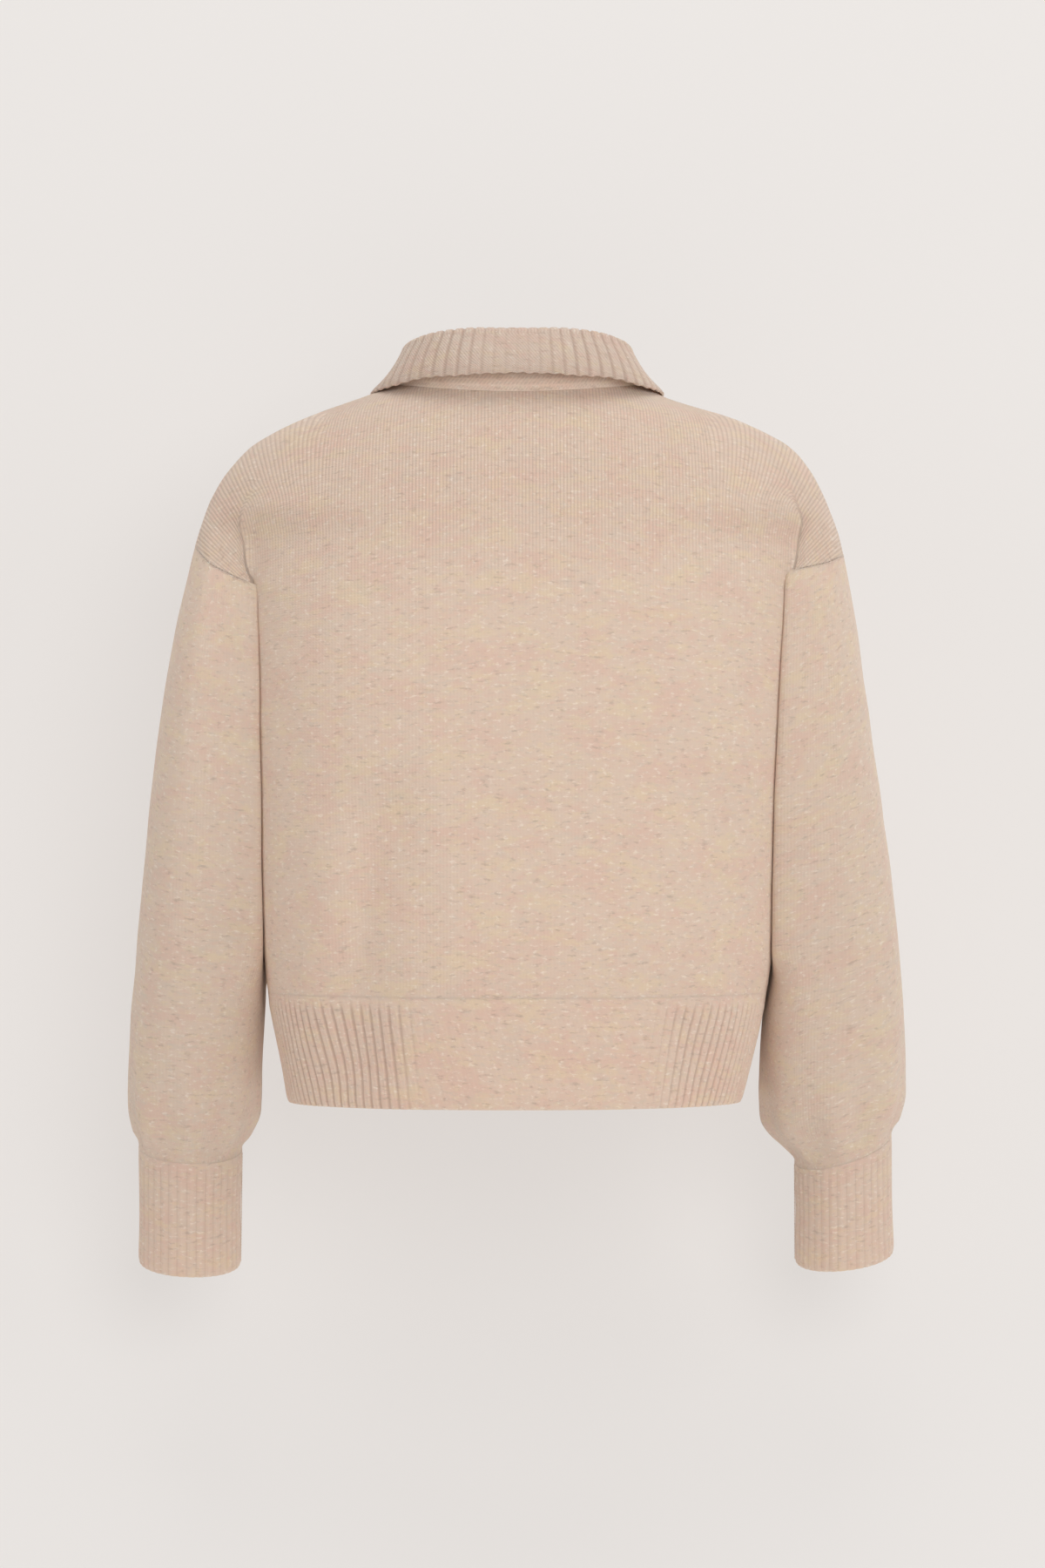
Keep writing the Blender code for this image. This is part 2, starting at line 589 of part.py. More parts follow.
def make_cloth(name, outer, faces, pinned, material, collection):
    """A closed wall whose inner face is its outer face moved in by the jersey's thickness.

    Each inner point lies that deep under every face that meets at its outer point.
    Each four-sided face is cut along its shorter diagonal, alike on both sides of the wall.

    pinned lists (point numbers, axis): there the cloth's edge keeps its place on that axis.
    """
    used = sorted({corner for face in faces for corner in face})
    number = {old: new for new, old in enumerate(used)}
    faces = [[number[corner] for corner in face] for face in faces]
    outer = outer[used]
    corners = outer[np.array(faces)]
    facing = np.cross(corners[:, 2] - corners[:, 0], corners[:, 3] - corners[:, 1])
    facing /= np.linalg.norm(facing, axis=-1, keepdims=True)
    around = [[] for _ in outer]
    for face, direction in zip(faces, facing):
        for corner in face:
            around[corner].append(direction)
    held = np.ones_like(outer)
    for numbers, axis in pinned:
        held[[number[old] for old in numbers if old in number], axis] = 0.0
    inner = outer.copy()
    for corner, directions in enumerate(around):
        slopes = np.array(directions) * held[corner]
        wanted = np.full(len(directions), -JERSEY_THICKNESS)
        inner[corner] += np.linalg.lstsq(slopes, wanted, rcond=FLATTEST_CORNER)[0]
    points = np.concatenate([outer, inner])
    count = len(outer)
    walls = []
    for face in faces:
        for half in shorter_cut(points, face):
            walls.append(half)
            walls.append([corner + count for corner in reversed(half)])
    edges = {(face[i - 1], face[i]) for face in faces for i in range(4)}
    for start, end in sorted(edges):
        if (end, start) not in edges:
            walls += shorter_cut(points, [end, start, start + count, end + count])
    return link_mesh(name, points, walls, material, collection)


# ---------------------------------------------------------------- body panels


def both_hands(panel, places, heights):
    """Joins the right and left halves of a piece of the body, from the right edge to the left."""
    halves = {}
    for hand in HAND_SIGN:
        rows = heights(hand, places)
        across = np.broadcast_to(places, rows.shape)
        halves[hand] = panel_point(panel, hand, across, rows)
    return np.concatenate([halves["right"][:, ::-1], halves["left"][:, 1:]], axis=1)


def open_seams(grid, panel, rows_open):
    """Moves the edge columns of these rows off the seam plane by half of the gap."""
    for column in (0, -1):
        grid[rows_open, column, 1] += PANEL_SIGN[panel] * SEAM_GAP / 2
    return grid


def seam_normals(normals, rows_open):
    """Normals that lie in the seam plane along the side seams."""
    for column in (0, -1):
        normals[rows_open, column, 1] = 0.0
    return normals / np.linalg.norm(normals, axis=-1, keepdims=True)


def facing_out(grid, panel):
    """Columns run so that the outer face's normal points out of the garment."""
    return grid if panel == "front" else grid[:, ::-1]


def quads(numbers):
    """The faces between neighbouring rows and columns of a grid of point numbers."""
    low, high = numbers[:-1], numbers[1:]
    faces = np.stack([low[:, :-1], low[:, 1:], high[:, 1:], high[:, :-1]], axis=-1)
    return faces.reshape(-1, 4).tolist()


def make_panel(panel, material, collection):
    """Half of the body: an L-shaped grid to each hand, whose arm lies over the sleeve's head."""
    body_places = 1.0 - (1.0 - np.arange(BODY_SPANS + 1) / BODY_SPANS) ** SPAN_CROWDING
    head_turns = np.array([turn for turn in SLEEVE_TURNS if turn <= ARMHOLE_CORNER_TURN])
    head_places = 1.0 + head_turns / ARMHOLE_CORNER_TURN
    places = np.concatenate([body_places, head_places[1:]])
    armhole_turns = [turn for turn in SLEEVE_TURNS if turn >= ARMHOLE_CORNER_TURN]
    first_high = len(ROWS_BELOW_UNDERARM) + len(armhole_turns) - 1

    def rows_of(hand):
        crease_neck = neck_height(panel, hand, np.ones(1))[0]
        armhole_rows = armhole_height(hand, np.array(armhole_turns[::-1]))
        corner = ARMHOLE_CORNER[hand]
        high_rows = corner + (crease_neck - corner) * np.array(YOKE_ROWS)
        return np.concatenate([ROWS_BELOW_UNDERARM, armhole_rows, high_rows])

    def heights(hand, across):
        over_head = head_heights(panel, hand, np.maximum(across, 1.0), rows_of(hand))
        body = body_heights(panel, hand, np.minimum(across, 1.0), rows_of)
        return np.where(across[None, :] > 1.0, over_head, body)

    grid = facing_out(both_hands(panel, places, heights), panel)
    row_count, column_count = grid.shape[:2]
    numbers = np.arange(row_count * column_count).reshape(row_count, column_count)
    rows = rows_of("left")
    head_spans = len(head_places) - 1
    ends = (head_spans, column_count - 1 - head_spans)
    side_seam = [(row, end) for row in range(first_high) for end in ends if rows[row] <= UNDERARM]
    shoulder_seam = [(row, end) for row in range(first_high, row_count) for end in (0, -1)]
    for row, column in side_seam + shoulder_seam:
        grid[row, column, 1] += PANEL_SIGN[panel] * SEAM_GAP / 2
    faces = []
    for face in quads(numbers):
        row, column = divmod(face[0], column_count)
        if row >= first_high or ends[0] <= column < ends[1]:
            faces.append(face)
    side_rows = [row for row in range(first_high) if rows[row] >= UNDERARM]
    armhole = [numbers[row, end] for row in side_rows for end in ends]
    armhole += list(numbers[first_high, : ends[0] + 1]) + list(numbers[first_high, ends[1] :])
    pinned = (
        ([numbers[place] for place in side_seam + shoulder_seam], 1),
        (armhole, 2),
    )
    return make_cloth(
        f"{panel}_panel", grid.reshape(-1, 3), faces, pinned, material, collection
    )


def rib_fractions(ribs):
    """Edges and crests of one half hem's ribs, closer together towards the sides."""
    even = np.linspace(0.0, 1.0, 2 * ribs + 1)
    return even + HEM_RIB_SQUEEZE * even * (1.0 - even) * (1.0 - even / 2)


def make_hem(panel, material, collection):
    """The ribbed band below a panel, raised in ribs over a plain back."""
    fractions = rib_fractions(HEM_RIBS_PER_HALF)
    heights = np.linspace(HEM_TOP - SEAM_GAP, HEM_BOTTOM, HEM_ROWS + 1)[::-1]
    plain = both_hands(
        panel, fractions, lambda hand, f: np.broadcast_to(heights[:, None], (len(heights), len(f)))
    )
    all_open = np.full(len(heights), True)
    plain = facing_out(open_seams(plain, panel, all_open), panel)
    normals = seam_normals(face_normals(plain, False), all_open)
    crest = np.where(np.arange(plain.shape[1]) % 2 == 1, RIB_RELIEF, 0.0)
    outer = plain + normals * crest[None, :, None]
    inner = (plain - RIB_THICKNESS * normals)[:, ::2]
    return make_wall(f"{panel}_hem_rib", outer, inner, False, material, collection)


# ---------------------------------------------------------------- sleeves and cuffs


def cuff_ring(hand, end, turn):
    """A ring of a cuff, tilted forward with the forearm."""
    size = dict(zip(CUFF_COLUMNS, end))
    angle = np.radians(turn)
    out = size["half_width"] * rounded(np.cos(angle), CUFF_SQUARE)
    along = size["half_depth"] * rounded(np.sin(angle), CUFF_SQUARE)
    level = size["height"] - FOREARM_TILT * along + size["outward_tilt"] * out
    return np.stack([HAND_SIGN[hand] * (size["x"] + out), size["y"] + along, level], axis=-1)


def sleeve_grid(hand, turns, shares):
    """The outer face of a sleeve from its cuff (share 0) up to its armhole (share 1)."""
    top = armhole_height(hand, turns) - SEAM_GAP
    cuff = cuff_ring(hand, CUFFS[hand][0], turns)
    foot = cuff[:, 2] + SEAM_GAP
    level = foot[None, :] + (top - foot)[None, :] * shares[:, None]
    section = sleeve_section(hand, np.broadcast_to(turns, level.shape), level)
    above = level - foot[None, :]
    gather = np.exp(-((above / GATHER_LENGTH) ** 2)) * ease(above, 0.0, GATHER_START)
    wave = GATHER_DEPTH * gather * np.cos(np.radians(turns * GATHERS))[None, :]
    middle = section.mean(axis=1, keepdims=True)
    outward = section - middle
    outward /= np.linalg.norm(outward, axis=-1, keepdims=True)
    section = section + outward * wave[..., None]
    drawn_in = (1.0 - ease(above, 0.0, DRAWN_IN_LENGTH))[..., None]
    section = section + (cuff[None, :, :2] - section) * drawn_in
    return np.concatenate([section, level[..., None]], axis=-1)


def in_order(turns, hand):
    """Turns round a sleeve or cuff, in the order that makes its outer face point out."""
    return turns if hand == "left" else turns[::-1]


def make_sleeve(hand, material, collection):
    """The tube of a sleeve, from its armhole seam to its gathered end at the cuff."""
    half = np.array(SLEEVE_TURNS)
    turns = in_order(np.concatenate([half, 360.0 - half[-2:0:-1]]), hand)
    even = np.linspace(0.0, 1.0, SLEEVE_RINGS)
    grid = sleeve_grid(hand, turns, even**RING_CROWDING)
    numbers = np.arange(grid.shape[0] * grid.shape[1]).reshape(grid.shape[:2])
    faces = quads(np.concatenate([numbers, numbers[:, :1]], axis=1))
    pinned = ((list(numbers[-1]), 2),)
    name = f"{hand}_sleeve"
    return make_cloth(name, grid.reshape(-1, 3), faces, pinned, material, collection)


def make_cuff(hand, material, collection):
    """A ribbed cuff, open at both ends."""
    turns = in_order(np.arange(2 * CUFF_RIBS) * 180.0 / CUFF_RIBS, hand)
    top, bottom = (cuff_ring(hand, end, turns) for end in CUFFS[hand])
    shares = np.linspace(0.0, 1.0, CUFF_ROWS + 1)[:, None, None]
    plain = bottom + (top - bottom) * shares
    normals = face_normals(plain, True)
    crest = np.where(np.arange(2 * CUFF_RIBS) % 2 == 1, RIB_RELIEF, 0.0)
    outer = plain + normals * crest[None, :, None]
    inner = (plain - RIB_THICKNESS * normals)[:, ::2]
    return make_wall(f"{hand}_cuff", outer, inner, True, material, collection)


# ---------------------------------------------------------------- neckband and collar


def neck_line(samples):
    """The neck edge of both panels, from the middle of the back to the V's point, on the left."""
    places = np.linspace(0.0, 2.0, samples)
    back = panel_point("back", "left", places, neck_height("back", "left", places))
    front = panel_point("front", "left", places, neck_height("front", "left", places))
    return np.concatenate([back, front[-2::-1]])


def neck_frames(stations):
    """Points, outward and upward directions at stations along the left half of the neck line."""
    line = neck_line(NECK_SAMPLES)
    length = np.concatenate([[0.0], np.cumsum(np.linalg.norm(np.diff(line, axis=0), axis=1))])
    share = length / length[-1]
    point = np.stack([np.interp(stations, share, line[:, axis]) for axis in range(3)], axis=-1)
    tangent = np.gradient(line, length, axis=0)
    along = np.stack([np.interp(stations, share, tangent[:, axis]) for axis in range(3)], axis=-1)
    lean = ease(stations, LEAN_FROM, LEAN_TO)[:, None]
    up = np.array([0.0, 0.0, 1.0]) * (1.0 - lean) + np.array(LEAN_DIRECTION) * lean
    out = np.cross(up, along)
    out /= np.linalg.norm(out, axis=-1, keepdims=True)
    up = np.cross(along, out)
    up /= np.linalg.norm(up, axis=-1, keepdims=True)
    return point, out, up


def across_back(half):
    """Joins the left half of a neck piece, [row, station], to its mirror image."""
    mirrored = half[:, ::-1] * np.array([-1.0, 1.0, 1.0])
    return np.concatenate([mirrored[:, :-1], half], axis=1)


def collar_values(column, stations):
    """One column of the collar's table at any stations."""
    return read(COLLAR, COLLAR_COLUMNS, column, stations)


def make_neckband(material, collection):
    """The strip that binds the neck edge, inside the collar's seam."""
    stations = np.linspace(0.0, 1.0, NECKBAND_STATIONS)
    point, out, up = neck_frames(stations)
    height = collar_values("band", stations)[:, None] - SEAM_GAP
    edges = []
    for place in (-SEAM_GAP, -SEAM_GAP - RIB_THICKNESS):
        foot = point + place * out + SEAM_GAP * up
        edges.append(across_back(np.stack([foot, foot + height * up])))
    for wall in edges:
        wall[:, (0, -1), 0] = [[-NECKBAND_END_GAP / 2, NECKBAND_END_GAP / 2]] * 2
    outer, inner = (facing_out(wall, "back") for wall in edges)
    return make_wall("neckband", outer, inner, False, material, collection)


def collar_profile(stations, grow):
    """The collar's fabric in cross-section, from its seam up to the fold and down to its edge.

    grow moves it off its middle surface: above 0 to the face that shows, below 0 to the back.
    """
    band = collar_values("band", stations)
    fold_out = collar_values("fold_out", stations)
    fold_up = collar_values("fold_up", stations)
    edge_out = collar_values("edge_out", stations)
    edge_up = collar_values("edge_up", stations)
    bow = collar_values("bow", stations)
    radius = COLLAR_LAYERS_APART / 2
    reach = radius + grow
    centre_out = fold_out + radius
    centre_up = fold_up - radius - RIB_THICKNESS / 2
    places = [(-RIB_THICKNESS / 2 - SEAM_GAP - grow, band + SEAM_GAP)]
    for angle in COLLAR_FOLD_TURNS:
        turn = np.radians(angle)
        places.append((centre_out + reach * np.cos(turn), centre_up + reach * np.sin(turn)))
    start_out, start_up = centre_out + radius, centre_up
    down_out, down_up = edge_out - start_out, edge_up - start_up
    length = np.hypot(down_out, down_up)
    side_out, side_up = -down_up / length, down_out / length
    for share in COLLAR_LEAF_SHARES:
        off = grow + bow * np.sin(np.pi * share)
        places.append((start_out + down_out * share + side_out * off,
                       start_up + down_up * share + side_up * off))
    return [(np.broadcast_to(o, stations.shape), np.broadcast_to(u, stations.shape))
            for o, u in places]


def collar_grid(stations, grow):
    """The collar's surface, [place in cross-section, station], off its middle by grow."""
    point, out, up = neck_frames(stations)
    rows = [point + o[:, None] * out + u[:, None] * up for o, u in collar_profile(stations, grow)]
    return across_back(np.stack(rows))


def make_collar(material, collection):
    """The folded ribbed collar, whose ends stop short of the V's point."""
    length = np.linalg.norm(np.diff(neck_line(NECK_SAMPLES), axis=0), axis=1).sum()
    last = 1.0 - COLLAR_END_CLEARANCE / length
    stations = np.linspace(0.0, last, COLLAR_RIBS + 1)
    middle = collar_grid(stations, 0.0)
    face = collar_grid(stations, RIB_THICKNESS / 2)
    back = collar_grid(stations, -RIB_THICKNESS / 2)
    outward = (face - back) / np.linalg.norm(face - back, axis=-1, keepdims=True)
    crest = np.where(np.arange(middle.shape[1]) % 2 == 1, RIB_RELIEF, 0.0)
    face = face + outward * crest[None, :, None]
    return make_wall("collar", face, back[:, ::2], False, material, collection)


# ---------------------------------------------------------------- the sweater


def main():
    """Builds every piece of the sweater in its collection."""
    for old in list(bpy.data.objects):
        bpy.data.objects.remove(old, do_unlink=True)
    collection = bpy.data.collections.new(COLLECTION)
    bpy.context.scene.collection.children.link(collection)
    jersey = make_material("heather_jersey", (0.69, 0.52, 0.40), 0.9)
    rib = make_material("heather_rib", (0.63, 0.47, 0.36), 0.9)
    for panel in PANEL_SIGN:
        make_panel(panel, jersey, collection)
        make_hem(panel, rib, collection)
    for hand in HAND_SIGN:
        make_sleeve(hand, jersey, collection)
        make_cuff(hand, rib, collection)
    make_neckband(rib, collection)
    make_collar(rib, collection)


main()
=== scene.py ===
"""Looks of the polo sweater: knitted shells, ribs, linked seams, finishes, studio and camera.

Every piece repeats the form of its solid in millimetres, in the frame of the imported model:
the back faces +Y, the wearer's left is +X, and the origin is the middle of the neck.
"""

import logging
import math
from collections.abc import Callable
from dataclasses import dataclass, field
from enum import Enum

import bpy
import numpy as np
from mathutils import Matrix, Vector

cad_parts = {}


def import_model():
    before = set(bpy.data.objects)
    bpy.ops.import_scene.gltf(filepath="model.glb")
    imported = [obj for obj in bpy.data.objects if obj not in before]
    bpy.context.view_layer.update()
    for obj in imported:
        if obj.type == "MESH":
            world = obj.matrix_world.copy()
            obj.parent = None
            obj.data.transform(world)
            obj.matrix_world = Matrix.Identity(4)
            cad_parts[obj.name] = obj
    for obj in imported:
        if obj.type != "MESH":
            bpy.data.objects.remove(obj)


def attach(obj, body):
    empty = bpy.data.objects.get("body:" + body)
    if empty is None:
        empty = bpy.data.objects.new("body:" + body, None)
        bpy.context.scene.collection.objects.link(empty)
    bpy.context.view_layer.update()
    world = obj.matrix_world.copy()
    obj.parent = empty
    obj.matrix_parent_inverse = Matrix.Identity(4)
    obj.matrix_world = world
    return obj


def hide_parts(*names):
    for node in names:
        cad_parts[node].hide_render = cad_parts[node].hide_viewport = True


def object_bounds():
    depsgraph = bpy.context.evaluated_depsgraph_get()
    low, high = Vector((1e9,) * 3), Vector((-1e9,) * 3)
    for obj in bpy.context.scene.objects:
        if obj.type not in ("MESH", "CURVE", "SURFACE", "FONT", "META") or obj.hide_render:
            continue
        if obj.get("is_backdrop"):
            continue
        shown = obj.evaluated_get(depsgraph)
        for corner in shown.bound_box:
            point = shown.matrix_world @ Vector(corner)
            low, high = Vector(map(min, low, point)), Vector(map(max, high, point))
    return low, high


MM = 0.001
log = logging.getLogger("polo_sweater")

Grid = np.ndarray


# ------------------------------------------------------------------ small helpers


def linear(hex_colour: str) -> tuple[float, float, float, float]:
    """Turns an sRGB hex colour to linear.

    Args:
        hex_colour: six hex digits after a hash sign.

    Returns:
        Linear red, green and blue, and an alpha of 1.
    """
    channels = [int(hex_colour[i : i + 2], 16) / 255 for i in (1, 3, 5)]
    bent = [c / 12.92 if c <= 0.04045 else ((c + 0.055) / 1.055) ** 2.4 for c in channels]
    return (bent[0], bent[1], bent[2], 1.0)


def ease(value: Grid, start: float, end: float) -> Grid:
    """Steps smoothly from 0 at start to 1 at end.

    Args:
        value: places.
        start: where the step begins.
        end: where the step is over.

    Returns:
        The height of the step at each place.
    """
    t = np.clip((value - start) / (end - start), 0.0, 1.0)
    return t * t * (3.0 - 2.0 * t)


def rounded(value: Grid, square: Grid) -> Grid:
    """Bends a cosine or sine to the outline of a superellipse.

    Args:
        value: cosine or sine.
        square: the superellipse's power.

    Returns:
        The bent value.
    """
    return np.sign(value) * np.abs(value) ** (2.0 / square)


def boxed(turn: Grid, square: Grid) -> tuple[Grid, Grid]:
    """Finds a place on the outline of a rounded box.

    Args:
        turn: the turn round the box, in degrees.
        square: how square the box is.

    Returns:
        Across and along, from -1 to 1.
    """
    angle = np.radians(turn)
    across, along = np.cos(angle), np.sin(angle)
    size = (np.abs(across) ** square + np.abs(along) ** square) ** (1.0 / square)
    return across / size, along / size


def unit(vectors: Grid) -> Grid:
    """Scales vectors to length 1."""
    return vectors / np.maximum(np.linalg.norm(vectors, axis=-1, keepdims=True), 1e-9)


def lengths_along(points: Grid, axis: int) -> Grid:
    """Measures how far each point of a grid is along its row or column.

    Args:
        points: grid of points.
        axis: the grid axis to walk along.

    Returns:
        Distance from the first point, in millimetres.
    """
    steps = np.linalg.norm(np.diff(points, axis=axis), axis=-1)
    start = np.zeros_like(np.take(steps, [0], axis=axis))
    return np.concatenate([start, np.cumsum(steps, axis=axis)], axis=axis)


def resample(path: Grid, fraction: Grid) -> Grid:
    """Finds the point at a fraction of the length of each path.

    Args:
        path: points along the last axis but one.
        fraction: share of each path's length.

    Returns:
        One point for each path.
    """
    steps = np.linalg.norm(np.diff(path, axis=-2), axis=-1)
    length = np.concatenate([np.zeros_like(steps[..., :1]), np.cumsum(steps, axis=-1)], axis=-1)
    target = fraction * length[..., -1]
    index = np.clip((length < target[..., None]).sum(axis=-1) - 1, 0, steps.shape[-1] - 1)
    pick = index[..., None]
    before = np.take_along_axis(length, pick, axis=-1)[..., 0]
    step = np.maximum(np.take_along_axis(steps, pick, axis=-1)[..., 0], 1e-9)
    start = np.take_along_axis(path, pick[..., None], axis=-2)[..., 0, :]
    end = np.take_along_axis(path, pick[..., None] + 1, axis=-2)[..., 0, :]
    return start + (end - start) * ((target - before) / step)[..., None]


def grid_normals(grid: Grid, around: bool) -> Grid:
    """Works out unit normals of a grid of points.

    Args:
        grid: points by row and column.
        around: whether the columns close up.

    Returns:
        A normal for each point.
    """
    if around:
        wrapped = np.concatenate([grid[:, -1:], grid, grid[:, :1]], axis=1)
        across = (wrapped[:, 2:] - wrapped[:, :-2]) / 2
    else:
        across = np.gradient(grid, axis=1)
    return unit(np.cross(across, np.gradient(grid, axis=0)))


def soft_noise(u: Grid, v: Grid, seed: int) -> Grid:
    """Sums a few slow waves into an uneven but repeatable field.

    Args:
        u: first coordinate, in wavelengths.
        v: second coordinate, in wavelengths.
        seed: picks the waves.

    Returns:
        Values between about -1 and 1.
    """
    waves = np.random.default_rng(seed)
    total = np.zeros_like(u * v)
    for _ in range(7):
        turn = waves.uniform(0.0, 2 * np.pi)
        pace = waves.uniform(0.6, 1.7)
        shift = waves.uniform(0.0, 2 * np.pi)
        total = total + np.sin(2 * np.pi * pace * (u * np.cos(turn) + v * np.sin(turn)) + shift)
    return total / 4.0


# ------------------------------------------------------------------ names and tables


class Hand(Enum):
    """The wearer's hands; the value is the sign of X."""

    LEFT = 1.0
    RIGHT = -1.0

    @property
    def word(self) -> str:
        """The hand in lower case."""
        return self.name.lower()


class Panel(Enum):
    """The body's panels; the value is the sign of Y."""

    BACK = 1.0
    FRONT = -1.0

    @property
    def word(self) -> str:
        """The panel in lower case."""
        return self.name.lower()


@dataclass(frozen=True)
class Table:
    """Sizes by height or station, read along a smooth curve through the rows."""

    columns: tuple[str, ...]
    rows: tuple[tuple[float, ...], ...]

    def at(self, column: str, height: Grid) -> Grid:
        """Reads one column at any heights.

        Args:
            column: the column's name.
            height: where to read it.

        Returns:
            The column's value at each height.
        """
        rows = np.array(self.rows)
        rows = rows[np.argsort(rows[:, 0])]
        knots = rows[:, 0]
        values = rows[:, self.columns.index(column)]
        slopes = np.gradient(values, knots)
        height = np.clip(height, knots[0], knots[-1])
        left = np.clip(np.searchsorted(knots, height) - 1, 0, len(knots) - 2)
        span = knots[left + 1] - knots[left]
        t = (height - knots[left]) / span
        return (
            values[left] * (1 + 2 * t) * (1 - t) ** 2
            + slopes[left] * span * t * (1 - t) ** 2
            + values[left + 1] * t**2 * (3 - 2 * t)
            + slopes[left + 1] * span * t**2 * (t - 1)
        )


# ------------------------------------------------------------------ the garment's form

BODY = Table(
    ("height", "LEFT", "RIGHT", "BACK", "FRONT", "side", "square"),
    (
        (-528.0, 170.5, 167.0, 99.0, -112.0, -8.0, 2.25),
        (-506.0, 174.0, 172.5, 102.0, -116.0, -8.0, 2.3),
        (-470.0, 181.5, 181.0, 108.0, -123.0, -8.0, 2.35),
        (-446.0, 186.0, 186.0, 112.0, -128.0, -8.0, 2.4),
        (-425.0, 188.5, 189.5, 115.0, -132.0, -8.0, 2.5),
        (-369.0, 194.0, 194.0, 117.0, -135.0, -8.0, 2.65),
        (-310.0, 197.0, 198.0, 117.5, -138.0, -7.0, 2.8),
        (-252.0, 199.0, 201.5, 118.0, -140.0, -6.0, 2.9),
        (-200.0, 200.0, 204.5, 117.5, -140.0, -4.0, 2.9),
        (-143.0, 200.5, 208.0, 114.5, -136.0, -2.0, 2.8),
        (-113.0, 200.0, 207.0, 110.5, -129.0, -1.0, 2.6),
        (-80.0, 198.0, 203.0, 104.0, -117.0, 0.0, 2.4),
        (-57.0, 195.0, 200.0, 97.5, -106.0, 0.0, 2.3),
        (-38.0, 190.0, 195.0, 90.5, -95.0, 0.0, 2.2),
        (-18.0, 157.0, 158.0, 80.5, -80.0, 0.0, 2.2),
        (0.0, 104.0, 103.0, 68.0, -62.0, 0.0, 2.3),
        (5.0, 92.0, 92.0, 65.5, -58.5, 0.0, 2.2),
        (11.0, 66.0, 66.0, 62.0, -54.0, 0.0, 2.1),
    ),
)
SHOULDER = Table(
    ("height", "LEFT", "RIGHT"),
    (
        (-113.0, 239.3, 240.8),
        (-96.0, 234.2, 235.5),
        (-77.0, 227.0, 228.3),
        (-57.0, 214.3, 217.5),
        (-38.0, 195.2, 199.6),
        (-27.5, 177.0, 180.0),
        (-18.0, 156.0, 157.0),
        (-11.0, 137.0, 133.0),
        (-5.0, 119.0, 114.0),
        (0.0, 106.0, 103.0),
        (5.0, 92.0, 92.0),
        (11.0, 60.0, 60.0),
    ),
)
SLEEVE_COLUMNS = ("height", "inner", "outer", "back", "front", "outer_square", "inner_square")
SLEEVES = {
    Hand.LEFT: Table(
        SLEEVE_COLUMNS,
        (
            (-60.0, 213.0, 216.0, 44.0, -46.0, 2.2, 8.0),
            (-86.0, 211.5, 231.0, 51.0, -53.0, 2.2, 9.0),
            (-113.0, 208.0, 239.3, 57.0, -59.0, 2.2, 10.0),
            (-143.0, 204.0, 246.8, 62.0, -65.0, 2.2, 12.0),
            (-175.0, 202.8, 254.3, 64.0, -68.0, 2.25, 12.0),
            (-213.0, 201.2, 261.3, 64.5, -70.0, 2.3, 12.0),
            (-252.0, 200.3, 267.2, 63.0, -71.0, 2.35, 12.0),
            (-310.0, 198.3, 274.3, 58.0, -72.0, 2.4, 12.0),
            (-369.0, 195.2, 280.4, 48.0, -74.0, 2.4, 10.0),
            (-408.0, 192.0, 284.7, 40.0, -78.0, 2.4, 7.0),
            (-432.0, 190.3, 286.8, 34.0, -81.0, 2.4, 5.0),
            (-467.0, 190.5, 290.6, 24.0, -87.0, 2.4, 3.0),
            (-506.0, 193.7, 292.5, 12.0, -94.0, 2.4, 2.4),
            (-530.0, 195.2, 292.4, 5.0, -98.0, 2.4, 2.3),
            (-548.0, 198.0, 291.0, -2.0, -101.0, 2.3, 2.2),
            (-558.0, 202.0, 289.0, -8.0, -101.0, 2.2, 2.1),
            (-568.0, 208.5, 287.0, -18.0, -97.0, 2.1, 2.1),
            (-590.0, 209.5, 287.0, -24.0, -97.0, 2.1, 2.1),
        ),
    ),
    Hand.RIGHT: Table(
        SLEEVE_COLUMNS,
        (
            (-60.0, 216.0, 219.0, 44.0, -46.0, 2.2, 8.0),
            (-86.0, 218.0, 232.5, 51.0, -53.0, 2.2, 9.0),
            (-113.0, 214.5, 240.8, 57.0, -59.0, 2.2, 10.0),
            (-143.0, 210.0, 247.2, 62.0, -65.0, 2.2, 12.0),
            (-175.0, 208.2, 252.8, 64.0, -68.0, 2.25, 12.0),
            (-213.0, 205.5, 258.0, 64.5, -70.0, 2.3, 12.0),
            (-252.0, 202.8, 263.6, 63.0, -71.0, 2.35, 12.0),
            (-310.0, 199.2, 272.4, 58.0, -72.0, 2.4, 12.0),
            (-369.0, 195.2, 280.6, 48.0, -74.0, 2.4, 10.0),
            (-408.0, 192.2, 285.4, 40.0, -78.0, 2.4, 7.0),
            (-432.0, 190.4, 287.8, 34.0, -81.0, 2.4, 5.0),
            (-467.0, 184.8, 290.6, 24.0, -87.0, 2.4, 3.0),
            (-506.0, 183.3, 291.9, 12.0, -94.0, 2.4, 2.4),
            (-530.0, 184.2, 291.2, 5.0, -98.0, 2.4, 2.3),
            (-548.0, 187.0, 288.0, -2.0, -101.0, 2.3, 2.2),
            (-558.0, 192.0, 285.5, -8.0, -101.0, 2.2, 2.1),
            (-570.0, 204.0, 283.5, -18.0, -97.0, 2.1, 2.1),
            (-590.0, 209.5, 283.5, -24.0, -97.0, 2.1, 2.1),
        ),
    ),
}
